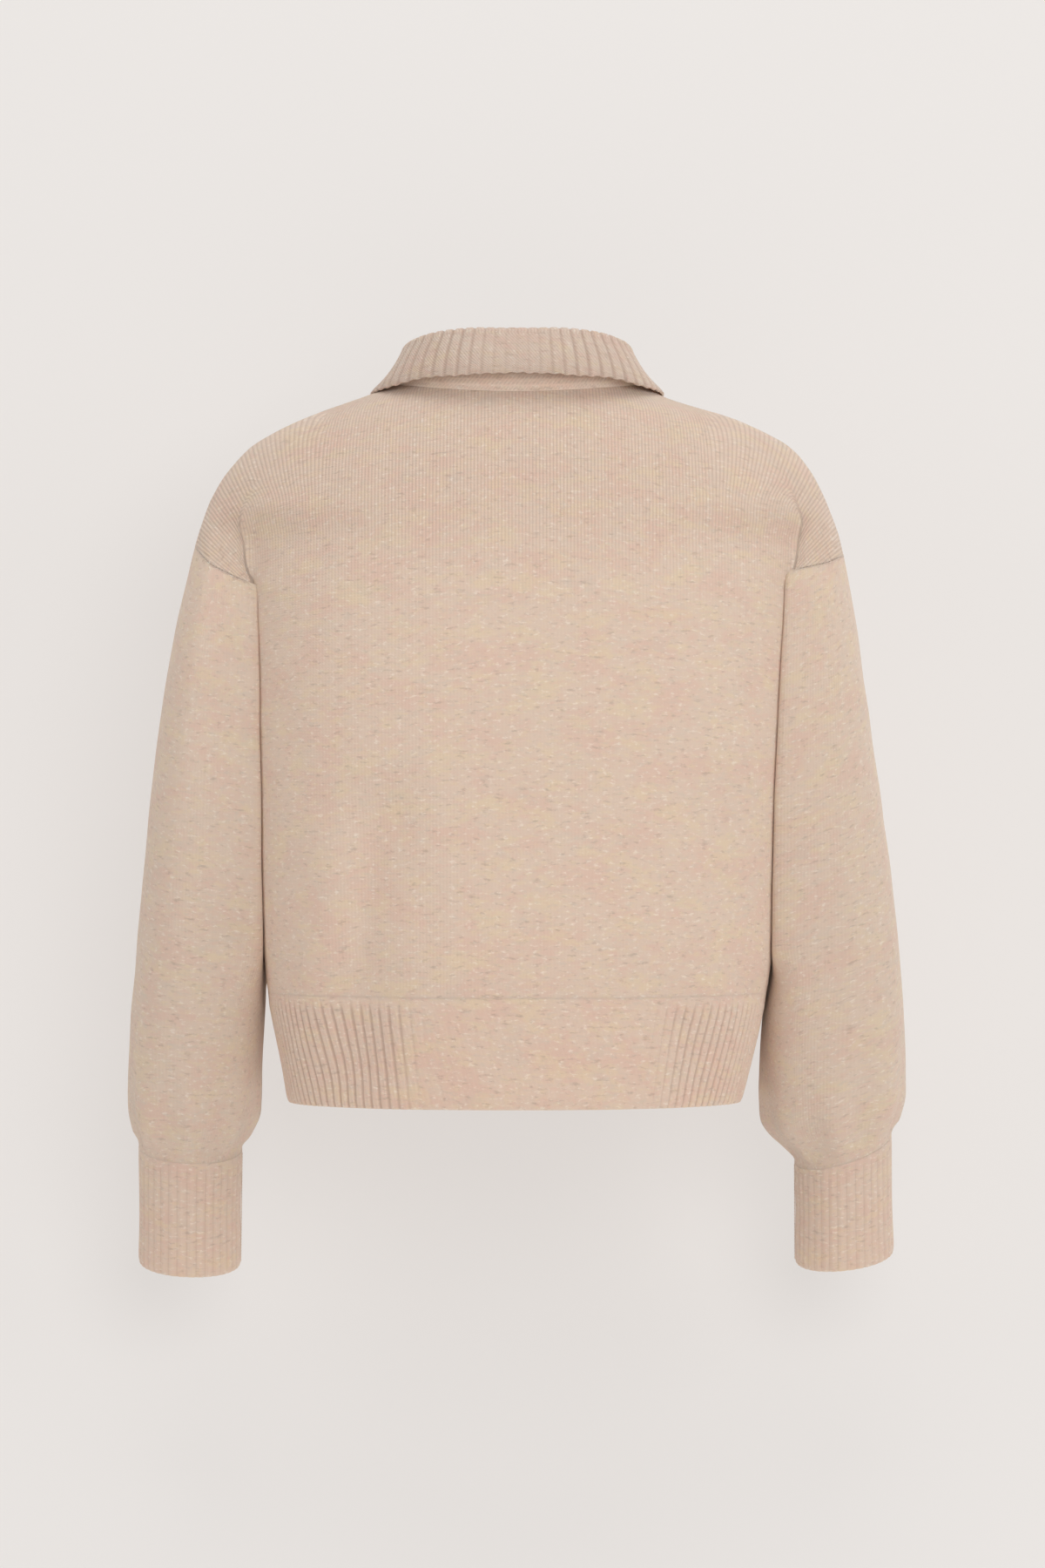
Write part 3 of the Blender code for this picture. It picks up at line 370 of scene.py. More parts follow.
COLLAR = Table(
    ("station", "band", "fold_out", "fold_up", "edge_out", "edge_up", "bow"),
    (
        (0.00, 14.5, -1.0, 46.0, 15.0, 12.6, 3.5),
        (0.10, 13.5, -2.0, 44.6, 15.0, 9.6, 3.0),
        (0.18, 12.0, -5.5, 39.6, 13.5, 5.2, 2.0),
        (0.24, 10.5, -9.5, 33.6, 13.0, -0.2, 0.5),
        (0.29, 9.0, -12.5, 29.4, 13.5, -2.8, -1.5),
        (0.34, 8.0, -14.0, 27.0, 15.5, -4.6, -2.5),
        (0.42, 7.5, -13.5, 25.5, 17.5, -4.2, -1.5),
        (0.55, 6.0, -11.0, 22.5, 22.0, 0.5, 0.0),
        (0.75, 4.5, -5.0, 17.0, 33.0, 4.5, 2.0),
        (0.92, 3.5, 0.5, 13.0, 40.0, 5.0, 2.5),
        (1.00, 3.0, 4.5, 11.5, 44.0, 5.0, 2.0),
    ),
)


# Where the crease would meet the top of the shoulder, as a share of the way to the side
CREASE_SHARE = {Hand.LEFT: 0.73, Hand.RIGHT: 0.75}
# The armhole seam: its height over the sleeve's outer side, and where it enters the crease
ARMHOLE_TOP = {Hand.LEFT: -113.0, Hand.RIGHT: -121.0}
ARMHOLE_CORNER = {Hand.LEFT: -146.0, Hand.RIGHT: -135.0}


@dataclass(frozen=True)
class CuffEnd:
    """One end of a cuff: its middle, half sizes, and how it tilts towards the outside."""

    x: float
    y: float
    height: float
    half_width: float
    half_depth: float
    outward_tilt: float


CUFF_TOPS = {
    Hand.LEFT: CuffEnd(248.0, -58.0, -567.0, 39.0, 38.5, 0.05),
    Hand.RIGHT: CuffEnd(247.0, -58.0, -567.0, 36.5, 38.5, 0.30),
}
CUFF_FEET = {
    Hand.LEFT: CuffEnd(250.0, -79.0, -655.5, 38.6, 36.0, 0.045),
    Hand.RIGHT: CuffEnd(249.5, -79.0, -650.5, 37.4, 36.0, 0.12),
}


@dataclass(frozen=True)
class Crease:
    """A soft trough in a panel, from one place to another; a negative depth makes a ridge."""

    panel: Panel
    top: float
    x_top: float
    bottom: float
    x_bottom: float
    half_width: float
    depth: float
    fade: float = 55.0
    lean: float = 0.45


# The folds that the solids have too
MAIN_CREASES = (
    Crease(Panel.BACK, -270.0, 92.0, -545.0, 128.0, 26.0, 6.5),
    Crease(Panel.BACK, -300.0, 132.0, -545.0, 158.0, 16.0, -2.5),
    Crease(Panel.BACK, -270.0, -148.0, -470.0, -158.0, 15.0, 3.5),
    Crease(Panel.BACK, -430.0, -118.0, -560.0, -136.0, 22.0, 4.0),
    Crease(Panel.FRONT, -280.0, -96.0, -545.0, -124.0, 26.0, 6.0),
    Crease(Panel.FRONT, -240.0, 112.0, -500.0, 138.0, 20.0, 4.5),
    Crease(Panel.FRONT, -430.0, 60.0, -560.0, 78.0, 22.0, 3.0),
)
# Finer creases, as uneven as in worn knitwear: near the armholes, along the sides and over the rib
FINE_CREASES = (
    Crease(Panel.BACK, -300.0, 104.0, -470.0, 120.0, 9.0, 1.6, 45.0),
    Crease(Panel.BACK, -350.0, 62.0, -452.0, 70.0, 12.0, 1.0, 40.0),
    Crease(Panel.BACK, -180.0, -176.0, -262.0, -166.0, 8.0, 1.3, 34.0),
    Crease(Panel.BACK, -205.0, 172.0, -300.0, 160.0, 9.0, 1.2, 40.0),
    Crease(Panel.BACK, -352.0, -172.0, -456.0, -170.0, 8.0, 1.6, 40.0),
    Crease(Panel.BACK, -395.0, -90.0, -455.0, -84.0, 12.0, 0.9, 26.0),
    Crease(Panel.BACK, -392.0, 150.0, -462.0, 152.0, 8.0, -1.1, 30.0),
    Crease(Panel.FRONT, -170.0, 168.0, -262.0, 150.0, 9.0, 1.7, 38.0),
    Crease(Panel.FRONT, -190.0, -170.0, -300.0, -148.0, 10.0, 1.9, 44.0),
    Crease(Panel.FRONT, -330.0, 104.0, -462.0, 116.0, 9.0, 1.5, 44.0),
    Crease(Panel.FRONT, -340.0, -62.0, -456.0, -72.0, 11.0, 1.3, 40.0),
    Crease(Panel.FRONT, -385.0, 22.0, -460.0, 30.0, 13.0, 1.0, 30.0),
    Crease(Panel.FRONT, -150.0, 66.0, -215.0, 92.0, 10.0, 1.1, 28.0),
    Crease(Panel.FRONT, -160.0, -60.0, -240.0, -84.0, 11.0, 1.2, 32.0),
)


@dataclass(frozen=True)
class SleeveCrease:
    """A soft trough round a sleeve, between two turns and heights, in degrees and millimetres."""

    hand: Hand
    turn_start: float
    height_start: float
    turn_end: float
    height_end: float
    half_width: float
    depth: float


SLEEVE_CREASES = (
    SleeveCrease(Hand.LEFT, 150.0, -430.0, 96.0, -392.0, 9.0, 1.9),
    SleeveCrease(Hand.LEFT, 160.0, -470.0, 110.0, -452.0, 8.0, 1.5),
    SleeveCrease(Hand.LEFT, 70.0, -520.0, 128.0, -536.0, 8.0, 1.4),
    SleeveCrease(Hand.LEFT, 205.0, -395.0, 262.0, -352.0, 10.0, 2.6),
    SleeveCrease(Hand.LEFT, 212.0, -440.0, 290.0, -412.0, 9.0, 2.2),
    SleeveCrease(Hand.LEFT, 240.0, -490.0, 320.0, -470.0, 10.0, 1.8),
    SleeveCrease(Hand.RIGHT, 150.0, -440.0, 104.0, -410.0, 9.0, 1.5),
    SleeveCrease(Hand.RIGHT, 172.0, -505.0, 118.0, -532.0, 8.0, 2.2),
    SleeveCrease(Hand.RIGHT, 60.0, -512.0, 112.0, -548.0, 9.0, 1.4),
    SleeveCrease(Hand.RIGHT, 205.0, -380.0, 258.0, -344.0, 9.0, 2.4),
    SleeveCrease(Hand.RIGHT, 215.0, -432.0, 286.0, -398.0, 10.0, 2.0),
    SleeveCrease(Hand.RIGHT, 236.0, -478.0, 325.0, -484.0, 9.0, 1.9),
)


@dataclass(frozen=True)
class GarmentForm:
    """The outer form of every piece of the sweater, in millimetres."""

    shoulder_neck: float = 5.0
    shoulder_tip: float = -113.0
    underarm: float = -252.0
    hem_top: float = -446.0
    hem_foot: float = -528.0
    back_neck: float = -4.0
    v_point: float = -140.0
    neck_half_width: float = 92.0
    back_rows_bend: float = -80.0
    front_rows_bend: float = -284.0
    crease_full: float = -113.0
    crease_gone: float = -84.0
    crease_turns_from: float = 0.6
    corner_turn: float = 135.0
    outer_square_at_armhole: float = 2.2
    inner_square_at_armhole: float = 12.0
    sleeve_touches: float = -416.0
    sleeve_free: float = -446.0
    seam_gap: float = 0.5
    armhole_gap_opens_over: float = 15.0
    forearm_tilt: float = 0.235
    cuff_square: float = 2.1
    path_samples: int = 48

    def half(self, hand: Hand, height: Grid) -> Grid:
        """Reads the body's half width to one hand."""
        return BODY.at(hand.name, height)

    def side(self, height: Grid) -> Grid:
        """Reads where the side seams lie in Y."""
        return BODY.at("side", height)

    def reach(self, panel: Panel, height: Grid) -> Grid:
        """Reads how far a panel stands out from the side seams."""
        return panel.value * (BODY.at(panel.name, height) - self.side(height))

    def arc(self, panel: Panel, hand: Hand, height: Grid, half: Grid, turn: Grid) -> Grid:
        """Works out a level section of the body.

        Args:
            panel: the side of the body.
            hand: the half of the panel.
            height: the section's height.
            half: the section's half width.
            turn: 0 at the panel's middle and 90 at its side.

        Returns:
            Points in X and Y.
        """
        square = BODY.at("square", height)
        angle = np.radians(turn)
        across = half * rounded(np.sin(angle), square)
        out = self.reach(panel, height) * rounded(np.cos(angle), square)
        return np.stack([hand.value * across, self.side(height) + panel.value * out], axis=-1)

    def hollow(self, hand: Hand, along: Grid, height: Grid) -> Grid:
        """Works out how much narrower the body is at a place in Y than at its side.

        Args:
            hand: the side of the body.
            along: the place in Y.
            height: the height.

        Returns:
            The difference in X.
        """
        side = self.side(height)
        reach = np.where(
            along > side, self.reach(Panel.BACK, height), self.reach(Panel.FRONT, height)
        )
        square = BODY.at("square", height)
        ratio = np.clip(np.abs(along - side) / reach, 0.0, 0.9)
        return self.half(hand, height) * (1.0 - (1.0 - ratio**square) ** (1.0 / square))

    def sleeve(self, hand: Hand, turn: Grid, height: Grid) -> Grid:
        """Works out a sleeve's level section, whose inner side follows the body.

        Args:
            hand: the sleeve.
            turn: 0 at its outer side, 90 behind, 180 against the body.
            height: the height.

        Returns:
            Points in X and Y.
        """
        table = SLEEVES[hand]
        inner, outer = table.at("inner", height), table.at("outer", height)
        back, front = table.at("back", height), table.at("front", height)
        square = np.where(
            np.cos(np.radians(turn)) > 0,
            table.at("outer_square", height),
            table.at("inner_square", height),
        )
        across, along = boxed(turn, square)
        along = (back + front) / 2 + (back - front) / 2 * along
        touching = ease(height, self.sleeve_free, self.sleeve_touches)
        hollow = np.where(across < 0, -across * self.hollow(hand, along, height) * touching, 0.0)
        out = (inner + outer) / 2 + (outer - inner) / 2 * across - hollow
        return np.stack([hand.value * out, along], axis=-1)

    def armhole_turn(self, hand: Hand, height: Grid) -> Grid:
        """Finds where the armhole seam runs round the sleeve at a height, below its corner."""
        corner = ARMHOLE_CORNER[hand]
        drop = np.clip((corner - height) / (corner - self.underarm), 0.0, 1.0)
        return self.corner_turn + (180.0 - self.corner_turn) * drop

    def armhole_height(self, hand: Hand, turn: Grid) -> Grid:
        """Finds the height of the armhole seam: straight to its corner, then round under the arm.

        Args:
            hand: the sleeve.
            turn: the turn round the sleeve, in degrees.

        Returns:
            The height at each turn.
        """
        turn = np.abs((turn + 180.0) % 360.0 - 180.0)
        top, corner = ARMHOLE_TOP[hand], ARMHOLE_CORNER[hand]
        upper_turn = np.minimum(turn, self.corner_turn)
        square = np.where(
            upper_turn < 90.0, self.outer_square_at_armhole, self.inner_square_at_armhole
        )
        end = boxed(self.corner_turn, self.inner_square_at_armhole)[0]
        fall = (1.0 - boxed(upper_turn, square)[0]) / (1.0 - end)
        past = np.maximum(turn - self.corner_turn, 0.0) / (180.0 - self.corner_turn)
        return top - (top - corner) * fall - (corner - self.underarm) * past

    def crease_point(self, panel: Panel, hand: Hand, level: Grid) -> Grid:
        """Finds where a panel meets the sleeve's form, in the crease or at the armhole below it.

        Args:
            panel: the panel.
            hand: its half.
            level: heights.

        Returns:
            Points in X and Y.
        """
        point = self.sleeve(hand, panel.value * self.armhole_turn(hand, level), level)
        corner = ARMHOLE_CORNER[hand]
        opened = ease(level, corner + self.armhole_gap_opens_over, corner)
        point[..., 0] -= hand.value * self.seam_gap * opened
        return point

    def creased_body(self, panel: Panel, hand: Hand, height: Grid) -> Grid:
        """Draws a panel's level sections from the middle to the crease or the armhole.

        Args:
            panel: the panel.
            hand: its half.
            height: heights.

        Returns:
            Paths of points in X and Y.
        """
        share = np.linspace(0.0, 1.0, self.path_samples)
        level = height[..., None]
        meeting = self.crease_point(panel, hand, level)
        square = BODY.at("square", level)
        off = panel.value * (meeting[..., 1] - self.side(level))
        ratio = np.clip(off / self.reach(panel, level), 0.0, 1.0)
        last_turn = np.degrees(np.arccos(ratio ** (square / 2.0)))
        arc = self.arc(panel, hand, level, self.half(hand, level), last_turn * share)
        turned = ease(share, self.crease_turns_from, 1.0)[:, None]
        return arc + (meeting - arc[..., -1:, :]) * turned

    def sleeve_head(self, panel: Panel, hand: Hand, place: Grid, height: Grid) -> Grid:
        """Works out a panel's face over the sleeve's head.

        Args:
            panel: the panel.
            hand: its half.
            place: 1 at the crease and 2 at the shoulder.
            height: heights.

        Returns:
            Points in X and Y.
        """
        past = np.clip(place - 1.0, 0.0, 1.0)
        turn = panel.value * self.corner_turn * (1.0 - past)
        head = self.sleeve(hand, turn, height)
        start = self.sleeve(hand, panel.value * self.corner_turn, height)
        meeting = self.crease_point(panel, hand, height)
        return head + (meeting - start) * (1.0 - past)[..., None] ** 4

    def plain_path(self, panel: Panel, hand: Hand, height: Grid) -> Grid:
        """Draws a panel's level sections with no crease.

        Args:
            panel: the panel.
            hand: its half.
            height: heights.

        Returns:
            Paths of points in X and Y.
        """
        level = height[..., None]
        shoulder = SHOULDER.at(hand.name, level)
        half = np.where(level > self.shoulder_tip, shoulder, self.half(hand, level))
        return self.arc(panel, hand, level, half, np.linspace(0.0, 90.0, self.path_samples))

    def pressed(self, panel: Panel, point: Grid, height: Grid) -> Grid:
        """Presses the creases into points of a panel.

        Args:
            panel: the panel.
            point: points in X and Y.
            height: their heights.

        Returns:
            The points, moved in or out.
        """
        centre = np.stack([np.zeros_like(height), self.side(height)], axis=-1)
        moved = point
        for crease in MAIN_CREASES + FINE_CREASES:
            if crease.panel is not panel:
                continue
            down = (height - crease.top) / (crease.bottom - crease.top)
            line = crease.x_top + (crease.x_bottom - crease.x_top) * down
            fade = ease(height, crease.top, crease.top - crease.fade)
            fade = fade * ease(height, crease.bottom, crease.bottom + crease.fade)
            off = (point[..., 0] - line) / crease.half_width
            depth = crease.depth * fade * np.exp(-(off**2))
            inward = unit((centre - point) * np.array([crease.lean, 1.0]))
            moved = moved + inward * depth[..., None]
        return moved

    def panel_point(self, panel: Panel, hand: Hand, place: Grid, height: Grid) -> Grid:
        """Works out points of a panel's outer face.

        Args:
            panel: the panel.
            hand: its half.
            place: 0 in the middle, 1 at the crease, side seam or armhole, 2 at the shoulder.
            height: heights.

        Returns:
            Points in X, Y and Z.
        """
        plain_end = np.where(height > ARMHOLE_CORNER[hand], CREASE_SHARE[hand], 1.0)
        past = plain_end + (1.0 - plain_end) * (place - 1.0)
        on_plain = np.where(place > 1.0, past, plain_end * place)
        plain = resample(self.plain_path(panel, hand, height), on_plain)
        body = resample(self.creased_body(panel, hand, height), np.minimum(place, 1.0))
        head = self.sleeve_head(panel, hand, place, height)
        creased = np.where(place[..., None] > 1.0, head, body)
        share = 1.0 - ease(height, self.crease_full, self.crease_gone)
        share = np.where(height < self.underarm, 0.0, share)[..., None]
        point = self.pressed(panel, plain + (creased - plain) * share, height)
        return np.concatenate([point, height[..., None]], axis=-1)

    def v_slant(self, x: Grid) -> Grid:
        """Finds the height of the V neck at a distance from the middle."""
        out = np.abs(x) / self.neck_half_width
        return self.v_point + (self.shoulder_neck - self.v_point) * (0.82 * out + 0.18 * out**6)

    def neck_height(self, panel: Panel, hand: Hand, place: Grid) -> Grid:
        """Finds the height of a panel's neck edge at places across it.

        Args:
            panel: the panel.
            hand: its half.
            place: places from 0 to 2.

        Returns:
            Heights.
        """
        share = CREASE_SHARE[hand]
        across = np.where(place > 1.0, share + (1.0 - share) * (place - 1.0), share * place)
        if panel is Panel.BACK:
            rise = self.shoulder_neck - self.back_neck
            return self.back_neck + rise * np.sin(np.pi / 2 * across) ** 2
        low = np.full_like(place, self.v_point)
        high = np.full_like(place, self.shoulder_neck)
        for _ in range(30):
            middle = (low + high) / 2
            x = resample(self.plain_path(panel, hand, middle), across)[..., 0]
            above = middle > self.v_slant(x)
            high = np.where(above, middle, high)
            low = np.where(above, low, middle)
        return np.where(place >= 2.0, self.shoulder_neck, high)

    def body_heights(
        self, panel: Panel, hand: Hand, place: Grid, rows_of: Callable[[Hand], Grid]
    ) -> Grid:
        """Works out heights of a panel's rows between its middle and its crease.

        Args:
            panel: the panel.
            hand: its half.
            place: places from 0 to 1.
            rows_of: gives each row's height at a hand's crease or side.

        Returns:
            Heights by row and place. In the middle the rows of both hands meet halfway.
        """
        bend = self.back_rows_bend if panel is Panel.BACK else self.front_rows_bend
        neck = self.neck_height(panel, hand, place)[None, :]
        others = (1.0 - place[None, :]) / 2
        other = Hand.RIGHT if hand is Hand.LEFT else Hand.LEFT
        rows = rows_of(hand)[:, None] * (1.0 - others) + rows_of(other)[:, None] * others
        bent = bend + (rows - bend) * (neck - bend) / (rows[-1:] - bend)
        return np.where(rows <= bend, rows, bent)

    def head_heights(self, panel: Panel, hand: Hand, place: Grid, rows: Grid) -> Grid:
        """Works out heights of a panel's rows over the sleeve's head.

        Args:
            panel: the panel.
            hand: its half.
            place: places from 1 to 2.
            rows: each row's height at the crease.

        Returns:
            Heights by row and place.
        """
        seam = self.armhole_height(hand, self.corner_turn * (2.0 - place))[None, :]
        neck = self.neck_height(panel, hand, place)[None, :]
        crease_neck = self.neck_height(panel, hand, np.ones(1))[0]
        share = (rows - ARMHOLE_CORNER[hand]) / (crease_neck - ARMHOLE_CORNER[hand])
        return seam + (neck - seam) * share[:, None]

    def neck_line(self, samples: int = 80) -> Grid:
        """Draws the left half of the neck edge, from the middle of the back to the V's point."""
        places = np.linspace(0.0, 2.0, samples)
        halves = []
        for panel in Panel:
            height = self.neck_height(panel, Hand.LEFT, places)
            halves.append(self.panel_point(panel, Hand.LEFT, places, height))
        return np.concatenate([halves[0], halves[1][-2::-1]])

    def neck_frames(self, stations: Grid) -> tuple[Grid, Grid, Grid]:
        """Finds points and directions along the left half of the neck line.

        Args:
            stations: 0 at the middle of the back and 1 at the V's point.

        Returns:
            Points, directions out of the garment, and directions up from the seam.
        """
        line = self.neck_line()
        length = lengths_along(line, 0)
        share = length / length[-1]
        slope = np.gradient(line, length, axis=0)
        point, along = (
            np.stack([np.interp(stations, share, values[:, axis]) for axis in range(3)], axis=-1)
            for values in (line, slope)
        )
        lean = ease(stations, 0.42, 0.80)[:, None]
        up = np.array([0.0, 0.0, 1.0]) * (1.0 - lean) + np.array([0.0, -0.97, 0.22]) * lean
        out = unit(np.cross(up, along))
        return point, out, unit(np.cross(along, out))

    def cuff_ring(self, end: CuffEnd, hand: Hand, turn: Grid) -> Grid:
        """Draws a ring of a cuff.

        Args:
            end: the cuff's end.
            hand: the sleeve.
            turn: turns round it.

        Returns:
            Points in X, Y and Z.
        """
        angle = np.radians(turn)
        out = end.half_width * rounded(np.cos(angle), self.cuff_square)
        along = end.half_depth * rounded(np.sin(angle), self.cuff_square)
        level = end.height - self.forearm_tilt * along + end.outward_tilt * out
        return np.stack([hand.value * (end.x + out), end.y + along, level], axis=-1)


FORM = GarmentForm()


# ------------------------------------------------------------------ meshes of cloth

# Edges that turn more than this, in degrees, are shaded as edges: the rims of the cloth
RIM_TURNS = 70.0


@dataclass(frozen=True)
class Sheet:
    """The cut of one piece of cloth before it was sewn, in metres."""

    width: float
    length: float
    area: float
    held: str = "hung"


def quads_of(numbers: Grid) -> Grid:
    """Lists the faces between neighbouring rows and columns of a grid of point numbers."""
    low, high = numbers[:-1], numbers[1:]
    faces = np.stack([low[:, :-1], low[:, 1:], high[:, 1:], high[:, :-1]], axis=-1)
    return faces.reshape(-1, 4)


def corner_normals(points: Grid, faces: Grid) -> Grid:
    """Averages the directions of the faces round each point.

    Args:
        points: points.
        faces: four point numbers each.

    Returns:
        A unit normal for each point.
    """
    corners = points[faces]
    facing = unit(np.cross(corners[:, 2] - corners[:, 0], corners[:, 3] - corners[:, 1]))
    normals = np.zeros_like(points)
    for corner in range(4):
        np.add.at(normals, faces[:, corner], facing)
    return unit(normals)


def link_quads(name: str, points: Grid, faces: Grid, knit: Grid | None) -> bpy.types.Object:
    """Makes a smooth mesh object.

    Args:
        name: the piece's name.
        points: points in millimetres.
        faces: four point numbers each, facing out.
        knit: place across and along the knit in millimetres, and its contrast, which sets the
        painted shade between wales, for each point; in ribs also how deep in a valley the point
        lies, which sets the painted shade there.

    Returns:
        The object, linked to the scene.
    """
    mesh = bpy.data.meshes.new(name)
    mesh.vertices.add(len(points))
    mesh.vertices.foreach_set("co", (points * MM).astype(np.float32).ravel())
    mesh.loops.add(faces.size)
    mesh.loops.foreach_set("vertex_index", faces.astype(np.int32).ravel())
    mesh.polygons.add(len(faces))
    mesh.polygons.foreach_set("loop_start", np.arange(0, faces.size, 4, dtype=np.int32))
    mesh.polygons.foreach_set("loop_total", np.full(len(faces), 4, dtype=np.int32))
    mesh.update(calc_edges=True)
    if knit is not None:
        layer = mesh.attributes.new("knit", "FLOAT_VECTOR", "POINT")
        layer.data.foreach_set("vector", knit[:, :3].astype(np.float32).ravel())
        valley = mesh.attributes.new("valley", "FLOAT", "POINT")
        depth = knit[:, 3] if knit.shape[1] == 4 else np.zeros(len(knit))
        valley.data.foreach_set("value", depth.astype(np.float32))
    mesh.shade_smooth()
    mesh.set_sharp_from_angle(angle=math.radians(RIM_TURNS))
    piece = bpy.data.objects.new(name, mesh)
    bpy.context.scene.collection.objects.link(piece)
    return piece


def shell(
    name: str, outer: Grid, faces: Grid, knit: Grid, thickness: float, base: Grid | None = None
) -> bpy.types.Object:
    """Makes a closed wall of cloth behind an outer face.

    Args:
        name: the piece's name.
        outer: points of the outer face.
        faces: its faces, four point numbers each.
        knit: place across and along the knit, and its contrast, for each point.
        thickness: the wall's thickness in millimetres.
        base: points that the inner face follows, where the outer face is raised in ribs.

    Returns:
        The object.
    """
    used = np.unique(faces)
    number = np.full(len(outer), -1)
    number[used] = np.arange(len(used))
    faces, outer, knit = number[faces], outer[used], knit[used]
    plain = outer if base is None else base[used]
    inner = plain - corner_normals(plain, faces) * thickness
    count = len(outer)
    edges = np.concatenate([faces[:, [i, (i + 1) % 4]] for i in range(4)])
    keys = np.sort(edges, axis=1) @ np.array([count, 1])
    _, first, times = np.unique(keys, return_index=True, return_counts=True)
    rim = edges[first[times == 1]]
    wall = np.stack([rim[:, 1], rim[:, 0], rim[:, 0] + count, rim[:, 1] + count], axis=-1)
    every = np.concatenate([faces, faces[:, ::-1] + count, wall])
    return link_quads(name, np.concatenate([outer, inner]), every, np.concatenate([knit, knit]))


def dress(
    piece: bpy.types.Object, finish: "Finish", node: str | None
) -> bpy.types.Object:
    """Args:
        piece: the piece.
        finish: its finish.
        node: the solid that it stands for, or None where it is an addition.

    Returns:
        The piece.
    """
    piece.data.materials.append(finish.material())
    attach(piece, "root")
    if node is not None:
        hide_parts(node)
    log.info("%s: %d faces", piece.name, len(piece.data.polygons))
    return piece


def both_hands(panel: Panel, place: Grid, heights: "HeightsOf") -> Grid:
    """Joins the right and left halves of a piece of the body.

    Args:
        panel: the side of the body.
        place: places across a half, by column or by row and column.
        heights: gives heights by row and column for a hand.

    Returns:
        Points by row and column, whose faces point out of the garment.
    """
    halves = {}
    for hand in Hand:
        rows = heights(hand)
        across = np.broadcast_to(place, rows.shape)
        halves[hand] = FORM.panel_point(panel, hand, across, rows)
    grid = np.concatenate([halves[Hand.RIGHT][:, ::-1], halves[Hand.LEFT][:, 1:]], axis=1)
    return grid if panel is Panel.FRONT else grid[:, ::-1]


HeightsOf = type(lambda hand: np.zeros((1, 1)))


# ------------------------------------------------------------------ jersey pieces


